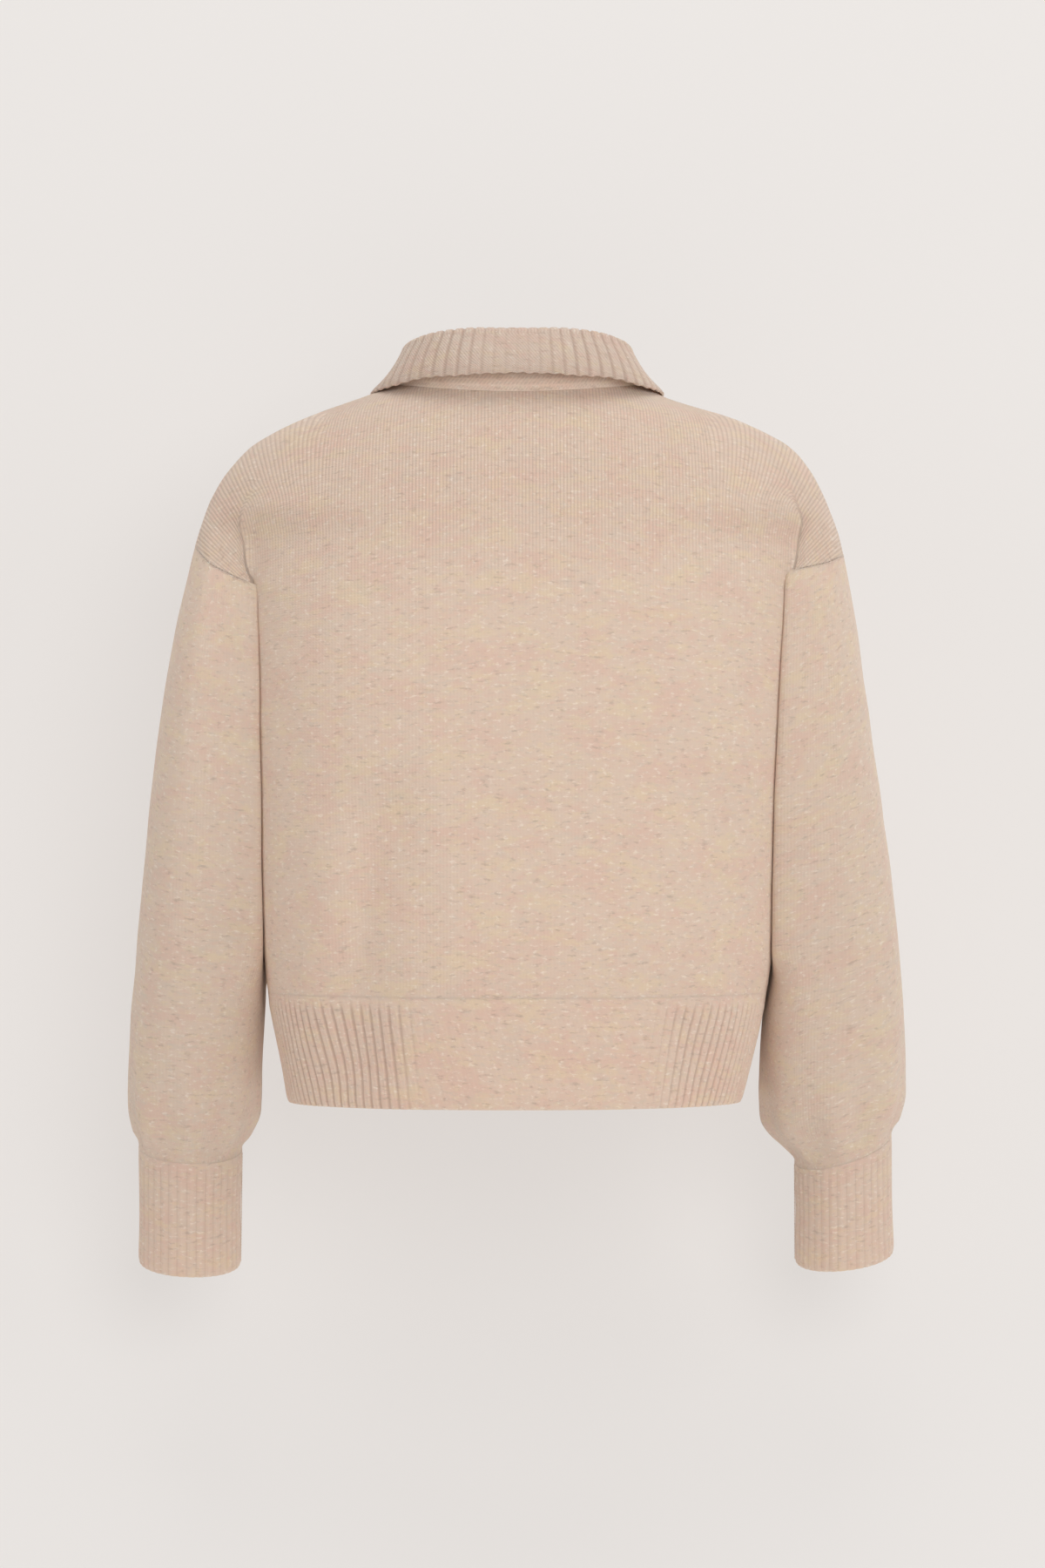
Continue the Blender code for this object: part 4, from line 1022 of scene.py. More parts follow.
@dataclass(frozen=True)
class JerseyPanel:
    """Half of the body in plain knit, dropped over the head of each sleeve."""

    panel: Panel
    sheet: Sheet
    body_spans: int = 78
    head_spans: int = 26
    low_rows: int = 84
    high_rows: int = 56
    thickness: float = 1.5
    crowding: float = 1.15
    pebble: float = 0.16
    # On the sleeve's head the wales fan out from this place inside the crease
    fan_x: float = 140.0
    fan_z: float = -195.0
    fan_radius: float = 118.0
    fan_starts: tuple[float, float] = (-100.0, -70.0)
    # The wales show most on the shoulders, and least low on the body, and more beside the armhole
    # seam: the contrast sets both their bump and the painted shade between them
    least_contrast: float = 0.26
    high_contrast: float = 0.64
    contrast_grows: tuple[float, float] = (-210.0, -60.0)
    seam_contrast: float = 0.3
    seam_contrast_fades: tuple[float, float] = (-96.0, -40.0)
    crease_width: float = 0.05
    crease_rounds: int = 22
    crease_softens: tuple[float, float] = (-142.0, -122.0)
    crease_firms: tuple[float, float] = (-58.0, -88.0)

    def build(self, finish: "Finish") -> bpy.types.Object:
        """Builds the panel.

        Args:
            finish: the jersey's finish.

        Returns:
            The piece.
        """
        body_place = 1.0 - (1.0 - np.linspace(0.0, 1.0, self.body_spans + 1)) ** self.crowding
        head_place = np.linspace(1.0, 2.0, self.head_spans + 1)
        place = np.concatenate([body_place, head_place[1:]])

        def rows_of(hand: Hand) -> Grid:
            """Gives each row's height at the crease or the side."""
            crease_neck = FORM.neck_height(self.panel, hand, np.ones(1))[0]
            low = np.linspace(FORM.hem_top, ARMHOLE_CORNER[hand], self.low_rows + 1)
            high = np.linspace(ARMHOLE_CORNER[hand], crease_neck, self.high_rows + 1)
            return np.concatenate([low, high[1:]])

        def heights(hand: Hand) -> Grid:
            """Gives the heights of the rows on one half."""
            head = FORM.head_heights(self.panel, hand, np.maximum(place, 1.0), rows_of(hand))
            body = FORM.body_heights(self.panel, hand, np.minimum(place, 1.0), rows_of)
            return np.where(place[None, :] > 1.0, head, body)

        grid = both_hands(self.panel, place, heights)
        columns = grid.shape[1]
        numbers = np.arange(grid.shape[0] * columns).reshape(grid.shape[:2])
        faces = quads_of(numbers)
        row, column = faces[:, 0] // columns, faces[:, 0] % columns
        ends = (self.head_spans, columns - 1 - self.head_spans)
        keep = (row >= self.low_rows) | ((column >= ends[0]) & (column < ends[1]))
        knit = self.knit(grid, place)
        raised = self.soft_crease(grid, place)
        raised = raised + grid_normals(grid, False) * self.uneven(knit)[..., None]
        raised[0] = grid[0]
        return dress(
            shell(
                f"{self.panel.word}_panel_jersey",
                raised.reshape(-1, 3),
                faces[keep],
                knit.reshape(-1, 3),
                self.thickness,
            ),
            finish,
            f"{self.panel.word}_panel",
        )

    def knit(self, grid: Grid, place: Grid) -> Grid:
        """Lays out the wales and courses, upright on the body and fanned out on the sleeve's head.

        Args:
            grid: the panel's points.
            place: places across one half.

        Returns:
            Place across and along the knit, and its contrast, by row and column.
        """
        middle = grid.shape[1] // 2
        across = lengths_along(grid, 1)
        across = across - across[:, middle : middle + 1]
        along = lengths_along(grid, 0)
        sided = np.concatenate([place[::-1], place[1:]])[None, :]
        out, height = np.abs(grid[..., 0]) - self.fan_x, grid[..., 2]
        above = np.maximum(height - self.fan_z, 1.0)
        start = np.stack(
            [np.interp(0.0, row, length) for row, length in self.from_middle(out, across, middle)]
        )
        turned = start[:, None] + self.fan_radius * np.arctan2(np.maximum(out, 0.0), above)
        fan = np.where(np.arange(grid.shape[1]) < middle, -1.0, 1.0)[None, :] * turned
        on_head = np.maximum(np.where(sided > 1.0, 1.0, 0.0), ease(height, *self.fan_starts))
        on_head = on_head * (out > 0.0)
        wale = across + (fan - across) * on_head
        course = along + (np.hypot(np.maximum(out, 0.0), above) - above) * on_head
        near_seam = 1.0 - ease(height, *self.seam_contrast_fades)
        contrast = self.least_contrast + self.high_contrast * ease(height, *self.contrast_grows)
        contrast = contrast + self.seam_contrast * near_seam * np.where(sided > 1.0, 1.0, 0.0)
        return np.stack([wale, course, contrast], axis=-1)

    def soft_crease(self, grid: Grid, place: Grid) -> Grid:
        """Rounds the crease beside the sleeve's head, as springy knit does.

        Args:
            grid: the panel's points.
            place: places across one half.

        Returns:
            The points, with the crease filled a little.
        """
        sided = np.concatenate([place[::-1], place[1:]])
        near = np.exp(-(((sided - 1.0) / self.crease_width) ** 2))
        low = ease(grid[..., 2], *self.crease_softens)
        near = near[None, :] * low * ease(grid[..., 2], *self.crease_firms)
        soft = grid.copy()
        for _ in range(self.crease_rounds):
            middle = (soft[:, :-2] + soft[:, 2:]) / 2
            soft[:, 1:-1] += (middle - soft[:, 1:-1]) * near[:, 1:-1, None]
        soft[..., 2] = grid[..., 2]
        return soft

    def from_middle(self, out: Grid, across: Grid, middle: int) -> list[tuple[Grid, Grid]]:
        """Pairs each row's places out from the fan's start with their lengths, on one half."""
        return list(zip(out[:, middle:], np.abs(across[:, middle:])))

    def uneven(self, knit: Grid) -> Grid:
        """Raises the cloth a little here and there, as a light knit lies."""
        seed = 11 if self.panel is Panel.BACK else 12
        return self.pebble * soft_noise(knit[..., 0] / 34.0, knit[..., 1] / 26.0, seed)


@dataclass(frozen=True)
class JerseySleeve:
    """A plain knitted sleeve, gathered into its cuff."""

    hand: Hand
    sheet: Sheet
    columns: int = 132
    rings: int = 120
    thickness: float = 1.5
    gathers: int = 8
    gather_depth: float = 3.0
    gather_length: float = 58.0
    fine_gathers: int = 19
    fine_depth: float = 0.8
    fine_length: float = 20.0
    lean: float = 0.95
    lean_reach: float = 9.0
    # Low down, the sleeve's edge beside the body is flatter towards the back
    edge_lift: float = 4.0
    edge_turn: float = 142.0
    edge_spread: float = 24.0
    edge_low: tuple[float, float] = (-400.0, -480.0)
    edge_off_cuff: tuple[float, float] = (30.0, 80.0)

    def build(self, finish: "Finish") -> bpy.types.Object:
        """Builds the sleeve.

        Args:
            finish: the jersey's finish.

        Returns:
            The piece.
        """
        turns = np.arange(self.columns) * 360.0 / self.columns + 180.0
        if self.hand is Hand.RIGHT:
            turns = turns[::-1]
        turns = turns % 360.0
        grid = self.surface(turns, np.linspace(0.0, 1.0, self.rings + 1) ** 1.1)
        knit = self.knit(grid)
        numbers = np.arange(grid.shape[0] * grid.shape[1]).reshape(grid.shape[:2])
        faces = quads_of(np.concatenate([numbers, numbers[:, :1]], axis=1))
        piece = shell(
            f"{self.hand.word}_sleeve_jersey",
            grid.reshape(-1, 3),
            faces,
            knit.reshape(-1, 3),
            self.thickness,
        )
        return dress(piece, finish, f"{self.hand.word}_sleeve")

    def surface(self, turns: Grid, shares: Grid) -> Grid:
        """Works out the sleeve's outer face.

        Args:
            turns: turns round it, by column.
            shares: 0 at the cuff and 1 at the armhole, by ring.

        Returns:
            Points by ring and column.
        """
        top = FORM.armhole_height(self.hand, turns) - FORM.seam_gap
        cuff = FORM.cuff_ring(CUFF_TOPS[self.hand], self.hand, turns)
        foot = cuff[:, 2]
        level = foot[None, :] + (top - foot)[None, :] * shares[:, None]
        section = FORM.sleeve(self.hand, np.broadcast_to(turns, level.shape), level)
        above = level - foot[None, :]
        start = ease(above, 0.0, 12.0)
        gather = np.exp(-((above / self.gather_length) ** 2)) * start
        wave = self.gather_depth * gather * np.cos(np.radians(turns * self.gathers))[None, :]
        fine = np.exp(-((above / self.fine_length) ** 2)) * ease(above, 0.0, 5.0)
        uneven = 1.0 + 0.5 * np.sin(np.radians(3 * turns + 40.0))
        phase = np.radians(turns * self.fine_gathers) + 0.7 * np.sin(np.radians(2 * turns))
        wave = wave + (self.fine_depth * uneven * np.cos(phase))[None, :] * fine
        wave = wave - self.creases(turns, level) + 0.25 * soft_noise(
            np.radians(turns)[None, :] * 1.4, level / 60.0, 21 if self.hand is Hand.LEFT else 22
        ) * ease(above, 0.0, 20.0) * ease(1.0 - shares, 0.0, 0.06)[:, None]
        outward = unit(section - section.mean(axis=1, keepdims=True))
        section = section + outward * wave[..., None]
        section[..., 0] -= self.hand.value * self.pressed_to_body(section, level)
        corner = np.exp(-(((turns - self.edge_turn) / self.edge_spread) ** 2))[None, :]
        corner = corner * ease(level, *self.edge_low)
        section[..., 1] += self.edge_lift * corner * ease(above, *self.edge_off_cuff)
        drawn_in = (1.0 - ease(above, 0.0, 32.0))[..., None]
        to_cuff = cuff[None, :, :2] - section
        section = section + to_cuff * drawn_in * (1.0 - 0.6 * start)[..., None]
        return np.concatenate([section, level[..., None]], axis=-1)

    def pressed_to_body(self, section: Grid, level: Grid) -> Grid:
        """Works out how far soft cloth leans over to the body, where the two almost touch.

        Args:
            section: the sleeve's points in X and Y.
            level: their heights.

        Returns:
            The way in X to the body's side.
        """
        hollow = FORM.hollow(self.hand, section[..., 1], level)
        body = FORM.half(self.hand, level) - hollow + FORM.seam_gap
        gap = np.maximum(self.hand.value * section[..., 0] - body, 0.0)
        beside = ease(level, FORM.sleeve_free, FORM.sleeve_touches)
        return self.lean * gap * np.exp(-((gap / self.lean_reach) ** 2)) * beside

    def creases(self, turns: Grid, level: Grid) -> Grid:
        """Sums the depths of the sleeve's creases.

        Args:
            turns: turns by column.
            level: heights by ring and column.

        Returns:
            Depth by ring and column.
        """
        depth = np.zeros_like(level)
        radius = 40.0
        for crease in SLEEVE_CREASES:
            if crease.hand is not self.hand:
                continue
            start = np.array([math.radians(crease.turn_start) * radius, crease.height_start])
            end = np.array([math.radians(crease.turn_end) * radius, crease.height_end])
            way = end - start
            reach = np.linalg.norm(way)
            way = way / reach
            x = np.radians(turns)[None, :] * radius - start[0]
            z = level - start[1]
            along = (x * way[0] + z * way[1]) / reach
            off = x * way[1] - z * way[0]
            fade = ease(along, -0.15, 0.35) * ease(along, 1.15, 0.65)
            depth += crease.depth * fade * np.exp(-((off / crease.half_width) ** 2))
        return depth

    def knit(self, grid: Grid) -> Grid:
        """Lays out the wales along the sleeve and the courses round it."""
        ring = np.concatenate([grid, grid[:, :1]], axis=1)
        across = lengths_along(ring, 1)[:, :-1]
        middle = across[self.rings // 2]
        along = lengths_along(grid, 0)
        contrast = np.full_like(along, 0.32)
        return np.stack([np.broadcast_to(middle, along.shape), along, contrast], axis=-1)


# ------------------------------------------------------------------ ribbed pieces


def rib_wave(phase: Grid) -> Grid:
    """Shapes a rib of two wales between narrow valleys.

    Args:
        phase: place across the ribs, 1 for each.

    Returns:
        Height from 0 in a valley to about 1 on the wales.
    """
    phase = phase % 1.0
    off = 2.0 * np.minimum(phase, 1.0 - phase)
    crest = ease(off, 0.0, 0.62)
    return crest * (1.0 + 0.10 * np.cos(4.0 * np.pi * (phase - 0.25))) - 0.04


@dataclass(frozen=True)
class HemRib:
    """The ribbed band below a panel, stretched flat at the middle of the back."""

    panel: Panel
    sheet: Sheet
    ribs: int = 33
    samples: int = 8
    rows: int = 26
    squeeze: float = 0.45
    relief: float = 1.1
    thickness: float = 1.6

    def build(self, finish: "Finish") -> bpy.types.Object:
        """Builds the band.

        Args:
            finish: the rib's finish.

        Returns:
            The piece.
        """
        even = np.linspace(0.0, 1.0, self.ribs * self.samples + 1)
        place = even + self.squeeze * even * (1.0 - even) * (1.0 - even / 2)
        drop = np.linspace(0.0, 1.0, self.rows + 1)[::-1]
        heights = (FORM.hem_top + (FORM.hem_foot - FORM.hem_top) * drop)[:, None]
        plain = both_hands(
            self.panel, place, lambda hand: np.broadcast_to(heights, (len(drop), len(place)))
        )
        normals = grid_normals(plain, False)
        phase = np.concatenate([even[::-1], even[1:]]) * self.ribs
        amount = self.amount(plain[..., 0], drop[:, None])
        wave = rib_wave(phase)[None, :]
        outer = plain + normals * (wave * self.relief * amount)[..., None]
        foot = ease(drop, 0.93, 1.0)[:, None]
        outer = outer - normals * (0.9 * foot**2)[..., None]
        across = lengths_along(plain, 1)
        contrast = 0.30 + 0.2 * amount
        # Painted shade in the ribs' valleys, as strong as their relief
        valley = (1.0 - wave) * amount
        knit = np.stack([across, lengths_along(plain, 0), contrast, valley], axis=-1)
        numbers = np.arange(plain.shape[0] * plain.shape[1]).reshape(plain.shape[:2])
        piece = shell(
            f"{self.panel.word}_hem_knit",
            outer.reshape(-1, 3),
            quads_of(numbers),
            knit.reshape(-1, 4),
            self.thickness,
            plain.reshape(-1, 3) - normals.reshape(-1, 3) * 0.15,
        )
        return dress(piece, finish, f"{self.panel.word}_hem_rib")

    def amount(self, x: Grid, drop: Grid) -> Grid:
        """Says how much of the ribs' relief, and of the painted shade in their valleys, shows.

        Args:
            x: place across the body.
            drop: 0 at the band's top and 1 at its foot.

        Returns:
            A share from 0 to 1.
        """
        left = ease(x, 60.0, 98.0)
        right = ease(-x, 88.0, 128.0) * 0.8
        stretched = np.maximum(left, right)
        flat = 0.22 if self.panel is Panel.BACK else 0.38
        return (flat + (1.0 - flat) * stretched) * (0.15 + 0.85 * ease(drop, 0.0, 0.16))


@dataclass(frozen=True)
class CuffRib:
    """A ribbed cuff, open at both ends."""

    hand: Hand
    sheet: Sheet
    ribs: int = 36
    samples: int = 8
    rows: int = 26
    relief: float = 0.6
    thickness: float = 1.6

    def build(self, finish: "Finish") -> bpy.types.Object:
        """Builds the cuff.

        Args:
            finish: the rib's finish.

        Returns:
            The piece.
        """
        columns = self.ribs * self.samples
        turns = np.arange(columns) * 360.0 / columns
        phase = np.arange(columns) / self.samples
        if self.hand is Hand.RIGHT:
            turns, phase = turns[::-1], phase[::-1]
        foot = FORM.cuff_ring(CUFF_FEET[self.hand], self.hand, turns)
        top = FORM.cuff_ring(CUFF_TOPS[self.hand], self.hand, turns)
        share = np.linspace(0.0, 1.0, self.rows + 1)[:, None, None]
        plain = foot + (top - foot) * share
        normals = grid_normals(plain, True)
        waist = 0.8 * np.sin(np.pi * share[..., 0])
        slack = soft_noise(np.cos(np.radians(turns))[None, :] * 0.8, share[..., 0] * 1.3, 31)
        body = plain - normals * (waist + 0.5 * slack * np.sin(np.pi * share[..., 0]))[..., None]
        amount = 0.35 + 0.65 * ease(1.0 - share[..., 0], 0.0, 0.1)
        wave = rib_wave(phase)[None, :]
        outer = body + normals * (wave * self.relief * amount)[..., None]
        rolled = ease(1.0 - share[..., 0], 0.93, 1.0) ** 2
        outer = outer - normals * (0.9 * rolled)[..., None]
        across = np.broadcast_to(phase * 6.6, plain.shape[:2])
        contrast = np.broadcast_to(0.30 + 0.2 * amount, plain.shape[:2])
        # Painted shade in the ribs' valleys, half as strong as on the hem
        valley = 0.5 * (1.0 - wave) * amount
        knit = np.stack([across, lengths_along(plain, 0), contrast, valley], axis=-1)
        numbers = np.arange(plain.shape[0] * columns).reshape(plain.shape[:2])
        piece = shell(
            f"{self.hand.word}_cuff_knit",
            outer.reshape(-1, 3),
            quads_of(np.concatenate([numbers, numbers[:, :1]], axis=1)),
            knit.reshape(-1, 4),
            self.thickness,
            body.reshape(-1, 3) - normals.reshape(-1, 3) * 0.15,
        )
        return dress(piece, finish, f"{self.hand.word}_cuff")


@dataclass(frozen=True)
class CollarRib:
    """The folded collar in rib knit, whose ends stop short of the V's point."""

    sheet: Sheet
    ribs: int = 44
    samples: int = 8
    layers_apart: float = 6.4
    end_clearance: float = 9.0
    end_droop: float = 1.8
    relief: float = 1.1
    thickness: float = 1.6
    solid_thickness: float = 1.8

    def build(self, finish: "Finish") -> bpy.types.Object:
        """Builds the collar.

        Args:
            finish: the rib's finish.

        Returns:
            The piece.
        """
        length = lengths_along(FORM.neck_line(), 0)[-1]
        even = np.linspace(0.0, 1.0, self.ribs * self.samples + 1)
        stations = even * (1.0 - self.end_clearance / length)
        rows = self.profile(stations)
        point, out, up = FORM.neck_frames(stations)
        half = np.stack([point + o[:, None] * out + u[:, None] * up for o, u in rows])
        mirrored = half[:, ::-1] * np.array([-1.0, 1.0, 1.0])
        grid = np.concatenate([mirrored[:, :-1], half], axis=1)
        sided = np.concatenate([even[::-1], even[1:]])
        across = lengths_along(grid, 1)
        along = lengths_along(grid, 0)
        normals = grid_normals(grid, False)
        edge = ease(along / along[-1:], 0.93, 1.0)
        amount = self.amount(np.concatenate([stations[::-1], stations[1:]]))[None, :]
        ends = ease((1.0 - sided) * length, 0.0, 5.0)[None, :]
        amount = amount * (0.3 + 0.7 * ends)
        wave = rib_wave(sided * self.ribs)[None, :]
        outer = grid + normals * (wave * self.relief * amount - 0.7 * edge**2)[..., None]
        # Painted shade in the ribs' valleys, as strong as their relief
        valley = np.broadcast_to((1.0 - wave) * amount, along.shape)
        knit = np.stack([across, along, np.full_like(along, 0.8), valley], axis=-1)
        numbers = np.arange(grid.shape[0] * grid.shape[1]).reshape(grid.shape[:2])
        piece = shell(
            "collar_knit",
            outer.reshape(-1, 3),
            quads_of(numbers),
            knit.reshape(-1, 4),
            self.thickness,
            grid.reshape(-1, 3),
        )
        return dress(piece, finish, "collar")

    def amount(self, stations: Grid) -> Grid:
        """Says how much of the ribs' relief and painted valley shade shows: least at the stretched
        middle.
        """
        return 0.45 + 0.55 * ease(stations, 0.0, 0.14)

    def profile(self, stations: Grid) -> list[tuple[Grid, Grid]]:
        """Draws the cross-section, from the seam over the fold to the leaf's edge.

        Args:
            stations: places along the neck line.

        Returns:
            Distances out of and up from the neck line, by row.
        """
        band, fold_out, fold_up, edge_out, edge_up, bow = (
            COLLAR.at(column, stations) for column in COLLAR.columns[1:]
        )
        grow = self.solid_thickness / 2
        radius = self.layers_apart / 2
        reach = radius + grow
        centre_out = fold_out + radius
        centre_up = fold_up - radius - grow
        foot_out = np.full_like(stations, -grow - FORM.seam_gap - grow)
        foot_up = band + FORM.seam_gap * 0.4
        rows = []
        for share in np.linspace(0.0, 1.0, 7)[:-1]:
            rows.append(
                (
                    foot_out + (centre_out - reach - foot_out) * share,
                    foot_up + (centre_up - foot_up) * share,
                )
            )
        for angle in np.radians(np.arange(180.0, 9.0, -12.0)):
            rows.append((centre_out + reach * np.cos(angle), centre_up + reach * np.sin(angle)))
        start_out, start_up = centre_out + radius, centre_up
        down_out, down_up = edge_out - start_out, edge_up - start_up
        length = np.hypot(down_out, down_up)
        side_out, side_up = -down_up / length, down_out / length
        ripple = 0.55 * np.cos(2 * np.pi * stations * self.ribs)
        droop = self.end_droop * np.exp(-(((stations - 0.28) / 0.06) ** 2))
        sway = droop + 0.4 * soft_noise(stations * 7.0, np.zeros_like(stations), 41)
        for share in np.linspace(0.06, 1.0, 17):
            off = grow + bow * np.sin(np.pi * share)
            longer = share + (ripple + sway) / length * share**3
            rows.append(
                (
                    start_out + down_out * longer + side_out * off,
                    start_up + down_up * longer + side_up * off,
                )
            )
        return rows


@dataclass(frozen=True)
class NeckBand:
    """The narrow strip between the neck edge and the collar, in slanting stitches."""

    sheet: Sheet
    columns: int = 330
    rows: int = 10
    thickness: float = 1.4
    stitch: float = 3.0
    relief: float = 0.5

    def build(self, finish: "Finish") -> bpy.types.Object:
        """Builds the strip.

        Args:
            finish: the rib's finish.

        Returns:
            The piece.
        """
        stations = np.linspace(0.0, 1.0, self.columns + 1)
        point, out, up = FORM.neck_frames(stations)
        height = COLLAR.at("band", stations)
        rows = []
        for share in np.linspace(0.0, 1.0, self.rows + 1):
            rows.append(point - FORM.seam_gap * out + (height * share)[:, None] * up)
        half = np.stack(rows)
        mirrored = half[:, ::-1] * np.array([-1.0, 1.0, 1.0])
        grid = np.concatenate([mirrored[:, :-1], half], axis=1)
        middle = grid.shape[1] // 2
        grid[:, 0, 0] = -FORM.seam_gap / 2
        grid[:, -1, 0] = FORM.seam_gap / 2
        across, along = lengths_along(grid, 1), lengths_along(grid, 0)
        across = across - across[:, middle : middle + 1]
        slant = np.abs(along - 4.0) * 0.9
        wave = np.cos(2 * np.pi * (across + slant) / self.stitch)
        line = np.cos(2 * np.pi * along / 4.0)
        normals = grid_normals(grid, False)
        outer = grid + normals * (self.relief * (0.6 * wave - 0.4 * line) * 0.5)[..., None]
        # Painted shade between the slanting stitches and between their rows
        valley = 0.5 * (1.0 - wave) * (1.0 - 0.5 * line)
        knit = np.stack([across, along, np.full_like(across, 0.1), valley], axis=-1)
        numbers = np.arange(grid.shape[0] * grid.shape[1]).reshape(grid.shape[:2])
        piece = shell(
            "neckband_knit",
            outer.reshape(-1, 3),
            quads_of(numbers),
            knit.reshape(-1, 4),
            self.thickness,
            grid.reshape(-1, 3),
        )
        return dress(piece, finish, "neckband")


# ------------------------------------------------------------------ sewing


@dataclass(frozen=True)
class LinkedSeam:
    """A chain of slanting stitches that joins two edges along a path."""

    name: str
    pitch: float = 2.4
    length: float = 2.6
    width: float = 0.95
    height: float = 0.7
    slant: float = 26.0
    spread: float = 0.55
    sides: int = 6

    def drop(self) -> tuple[Grid, Grid]:
        """Shapes one stitch, long in X and flat in Z.

        Returns:
            Points and four-sided faces.
        """
        rings = []
        for share, size in ((-0.5, 0.25), (-0.25, 0.9), (0.15, 1.0), (0.5, 0.3)):
            turn = np.arange(self.sides) * 2 * np.pi / self.sides
            across = size * self.width / 2 * np.cos(turn)
            up = size * self.height / 2 * np.sin(turn)
            rings.append(np.stack([np.full_like(turn, share * self.length), across, up], axis=-1))
        points = np.concatenate(rings)
        numbers = np.arange(len(points)).reshape(len(rings), self.sides)
        faces = quads_of(np.concatenate([numbers, numbers[:, :1]], axis=1))
        first, last = numbers[0], numbers[-1]
        caps = [first[[0, 5, 4, 3]], first[[0, 3, 2, 1]], last[[0, 1, 2, 3]], last[[0, 3, 4, 5]]]
        return points, np.concatenate([faces, caps])

    def build(self, path: Grid, outward: Grid, finish: "Finish") -> bpy.types.Object:
        """Lays the stitches along a path.

        Args:
            path: points of the seam.
            outward: directions out of the cloth at those points.
            finish: the yarn's finish.

        Returns:
            The piece.
        """
        length = lengths_along(path, 0)
        count = int(length[-1] / self.pitch)
        places = (np.arange(count) + 0.5) * length[-1] / count
        where, facing = (
            np.stack([np.interp(places, length, values[:, axis]) for axis in range(3)], axis=-1)
            for values in (path, outward)
        )
        slope = np.gradient(path, length, axis=0)
        along = unit(
            np.stack([np.interp(places, length, slope[:, axis]) for axis in range(3)], axis=-1)
        )
        facing = unit(facing - along * (facing * along).sum(axis=-1, keepdims=True))
        across = np.cross(facing, along)
        drop, drop_faces = self.drop()
        points, faces, knit = [], [], []
        for side in (1.0, -1.0):
            angle = math.radians(self.slant) * side
            x = drop[:, 0] * math.cos(angle) + drop[:, 1] * math.sin(angle)
            y = drop[:, 1] * math.cos(angle) - drop[:, 0] * math.sin(angle) + side * self.spread
            stitch = (
                where[:, None]
                + x[None, :, None] * along[:, None]
                + y[None, :, None] * across[:, None]
                + drop[None, :, 2, None] * facing[:, None]
            )
            start = sum(len(part) for part in points) + np.arange(count) * len(drop)
            faces.append((start[:, None, None] + drop_faces[None]).reshape(-1, 4))
            points.append(stitch.reshape(-1, 3))
            place = np.repeat(places, len(drop))
            knit.append(np.stack([place * 0 + side * 1.3, place, place * 0 + 0.3], axis=-1))
        piece = link_quads(
            self.name, np.concatenate(points), np.concatenate(faces), np.concatenate(knit)
        )
        return dress(piece, finish, None)


@dataclass(frozen=True)
class Sewing:
    """Every linked seam of the sweater."""

    sink: float = 0.15

    def build(self, finish: "Finish") -> None:
        """Builds the seams.

        Args:
            finish: the yarn's finish.
        """
        self.neck(finish)
        for hand in Hand:
            self.armhole(hand, finish)
            self.shoulder(hand, finish)
            self.side(hand, finish)
            self.underarm(hand, finish)

    def neck(self, finish: "Finish") -> None:
        """Links the neckband to the neck edge."""
        line = FORM.neck_line(160)
        _, out, _ = FORM.neck_frames(np.linspace(0.0, 1.0, len(line)))
        mirror = np.array([-1.0, 1.0, 1.0])
        path = np.concatenate([line[::-1] * mirror, line[1:]])[2:-2]
        outward = np.concatenate([out[::-1] * mirror, out[1:]])[2:-2]
        path = path - outward * 0.35
        LinkedSeam("neck_linking", height=0.6, width=0.8).build(path, outward, finish)

    def armhole(self, hand: Hand, finish: "Finish") -> None:
        """Links a sleeve to the panels where the seam shows."""
        turns = np.linspace(-150.0, 150.0, 300)
        height = FORM.armhole_height(hand, turns) - FORM.seam_gap / 2
        section = FORM.sleeve(hand, turns, height)
        path = np.concatenate([section, height[:, None]], axis=-1)
        angle = np.radians(turns)
        outward = np.stack([hand.value * np.cos(angle), np.sin(angle), 0.25 + 0 * angle], axis=-1)
        path = path - unit(outward) * self.sink
        LinkedSeam(f"{hand.word}_armhole_linking").build(path, outward, finish)

    def shoulder(self, hand: Hand, finish: "Finish") -> None:
        """Links the panels along a shoulder."""
        height = np.linspace(-1.5, FORM.shoulder_tip + 1.0, 160)
        x = hand.value * SHOULDER.at(hand.name, height)
        path = np.stack([x, FORM.side(height), height], axis=-1)
        slope = np.gradient(path, axis=0)
        outward = np.cross(slope, np.array([0.0, 1.0, 0.0])) * hand.value
        path = path - unit(outward) * self.sink
        LinkedSeam(f"{hand.word}_shoulder_linking").build(path, outward, finish)

    def side(self, hand: Hand, finish: "Finish") -> None:
        """Links the panels and the hem's halves down a side."""
        height = np.linspace(FORM.underarm - 2.0, FORM.hem_foot + 1.0, 200)
        x = hand.value * FORM.half(hand, height)
        path = np.stack([x, FORM.side(height), height], axis=-1)
        outward = np.zeros_like(path)
        outward[:, 0] = hand.value
        path = path - outward * self.sink
        LinkedSeam(f"{hand.word}_side_linking").build(path, outward, finish)

    def underarm(self, hand: Hand, finish: "Finish") -> None:
        """Links a sleeve along the underside of its cuff."""
        foot = FORM.cuff_ring(CUFF_FEET[hand], hand, np.array([180.0]))[0]
        top = FORM.cuff_ring(CUFF_TOPS[hand], hand, np.array([180.0]))[0]
        share = np.linspace(0.02, 0.98, 60)[:, None]
        path = foot + (top - foot) * share
        outward = np.zeros_like(path)
        outward[:, 0] = -hand.value
        LinkedSeam(f"{hand.word}_cuff_linking").build(path + outward * 0.3, outward, finish)


# ------------------------------------------------------------------ finishes


def add_node(
    tree: bpy.types.NodeTree, kind: str, settings: dict[str, object], links: dict[object, object]
) -> bpy.types.Node:
    """Adds a node with its settings and links.

    Args:
        tree: the material's nodes.
        kind: the node's type.
        settings: the node's properties by name.
        links: for each input, by name or number, a constant or another node's output.

    Returns:
        The node.
    """
    node = tree.nodes.new(kind)
    for name, value in settings.items():
        setattr(node, name, value)
    for key, value in links.items():
        if isinstance(value, bpy.types.NodeSocket):
            tree.links.new(value, node.inputs[key])
        else:
            node.inputs[key].default_value = value
    return node


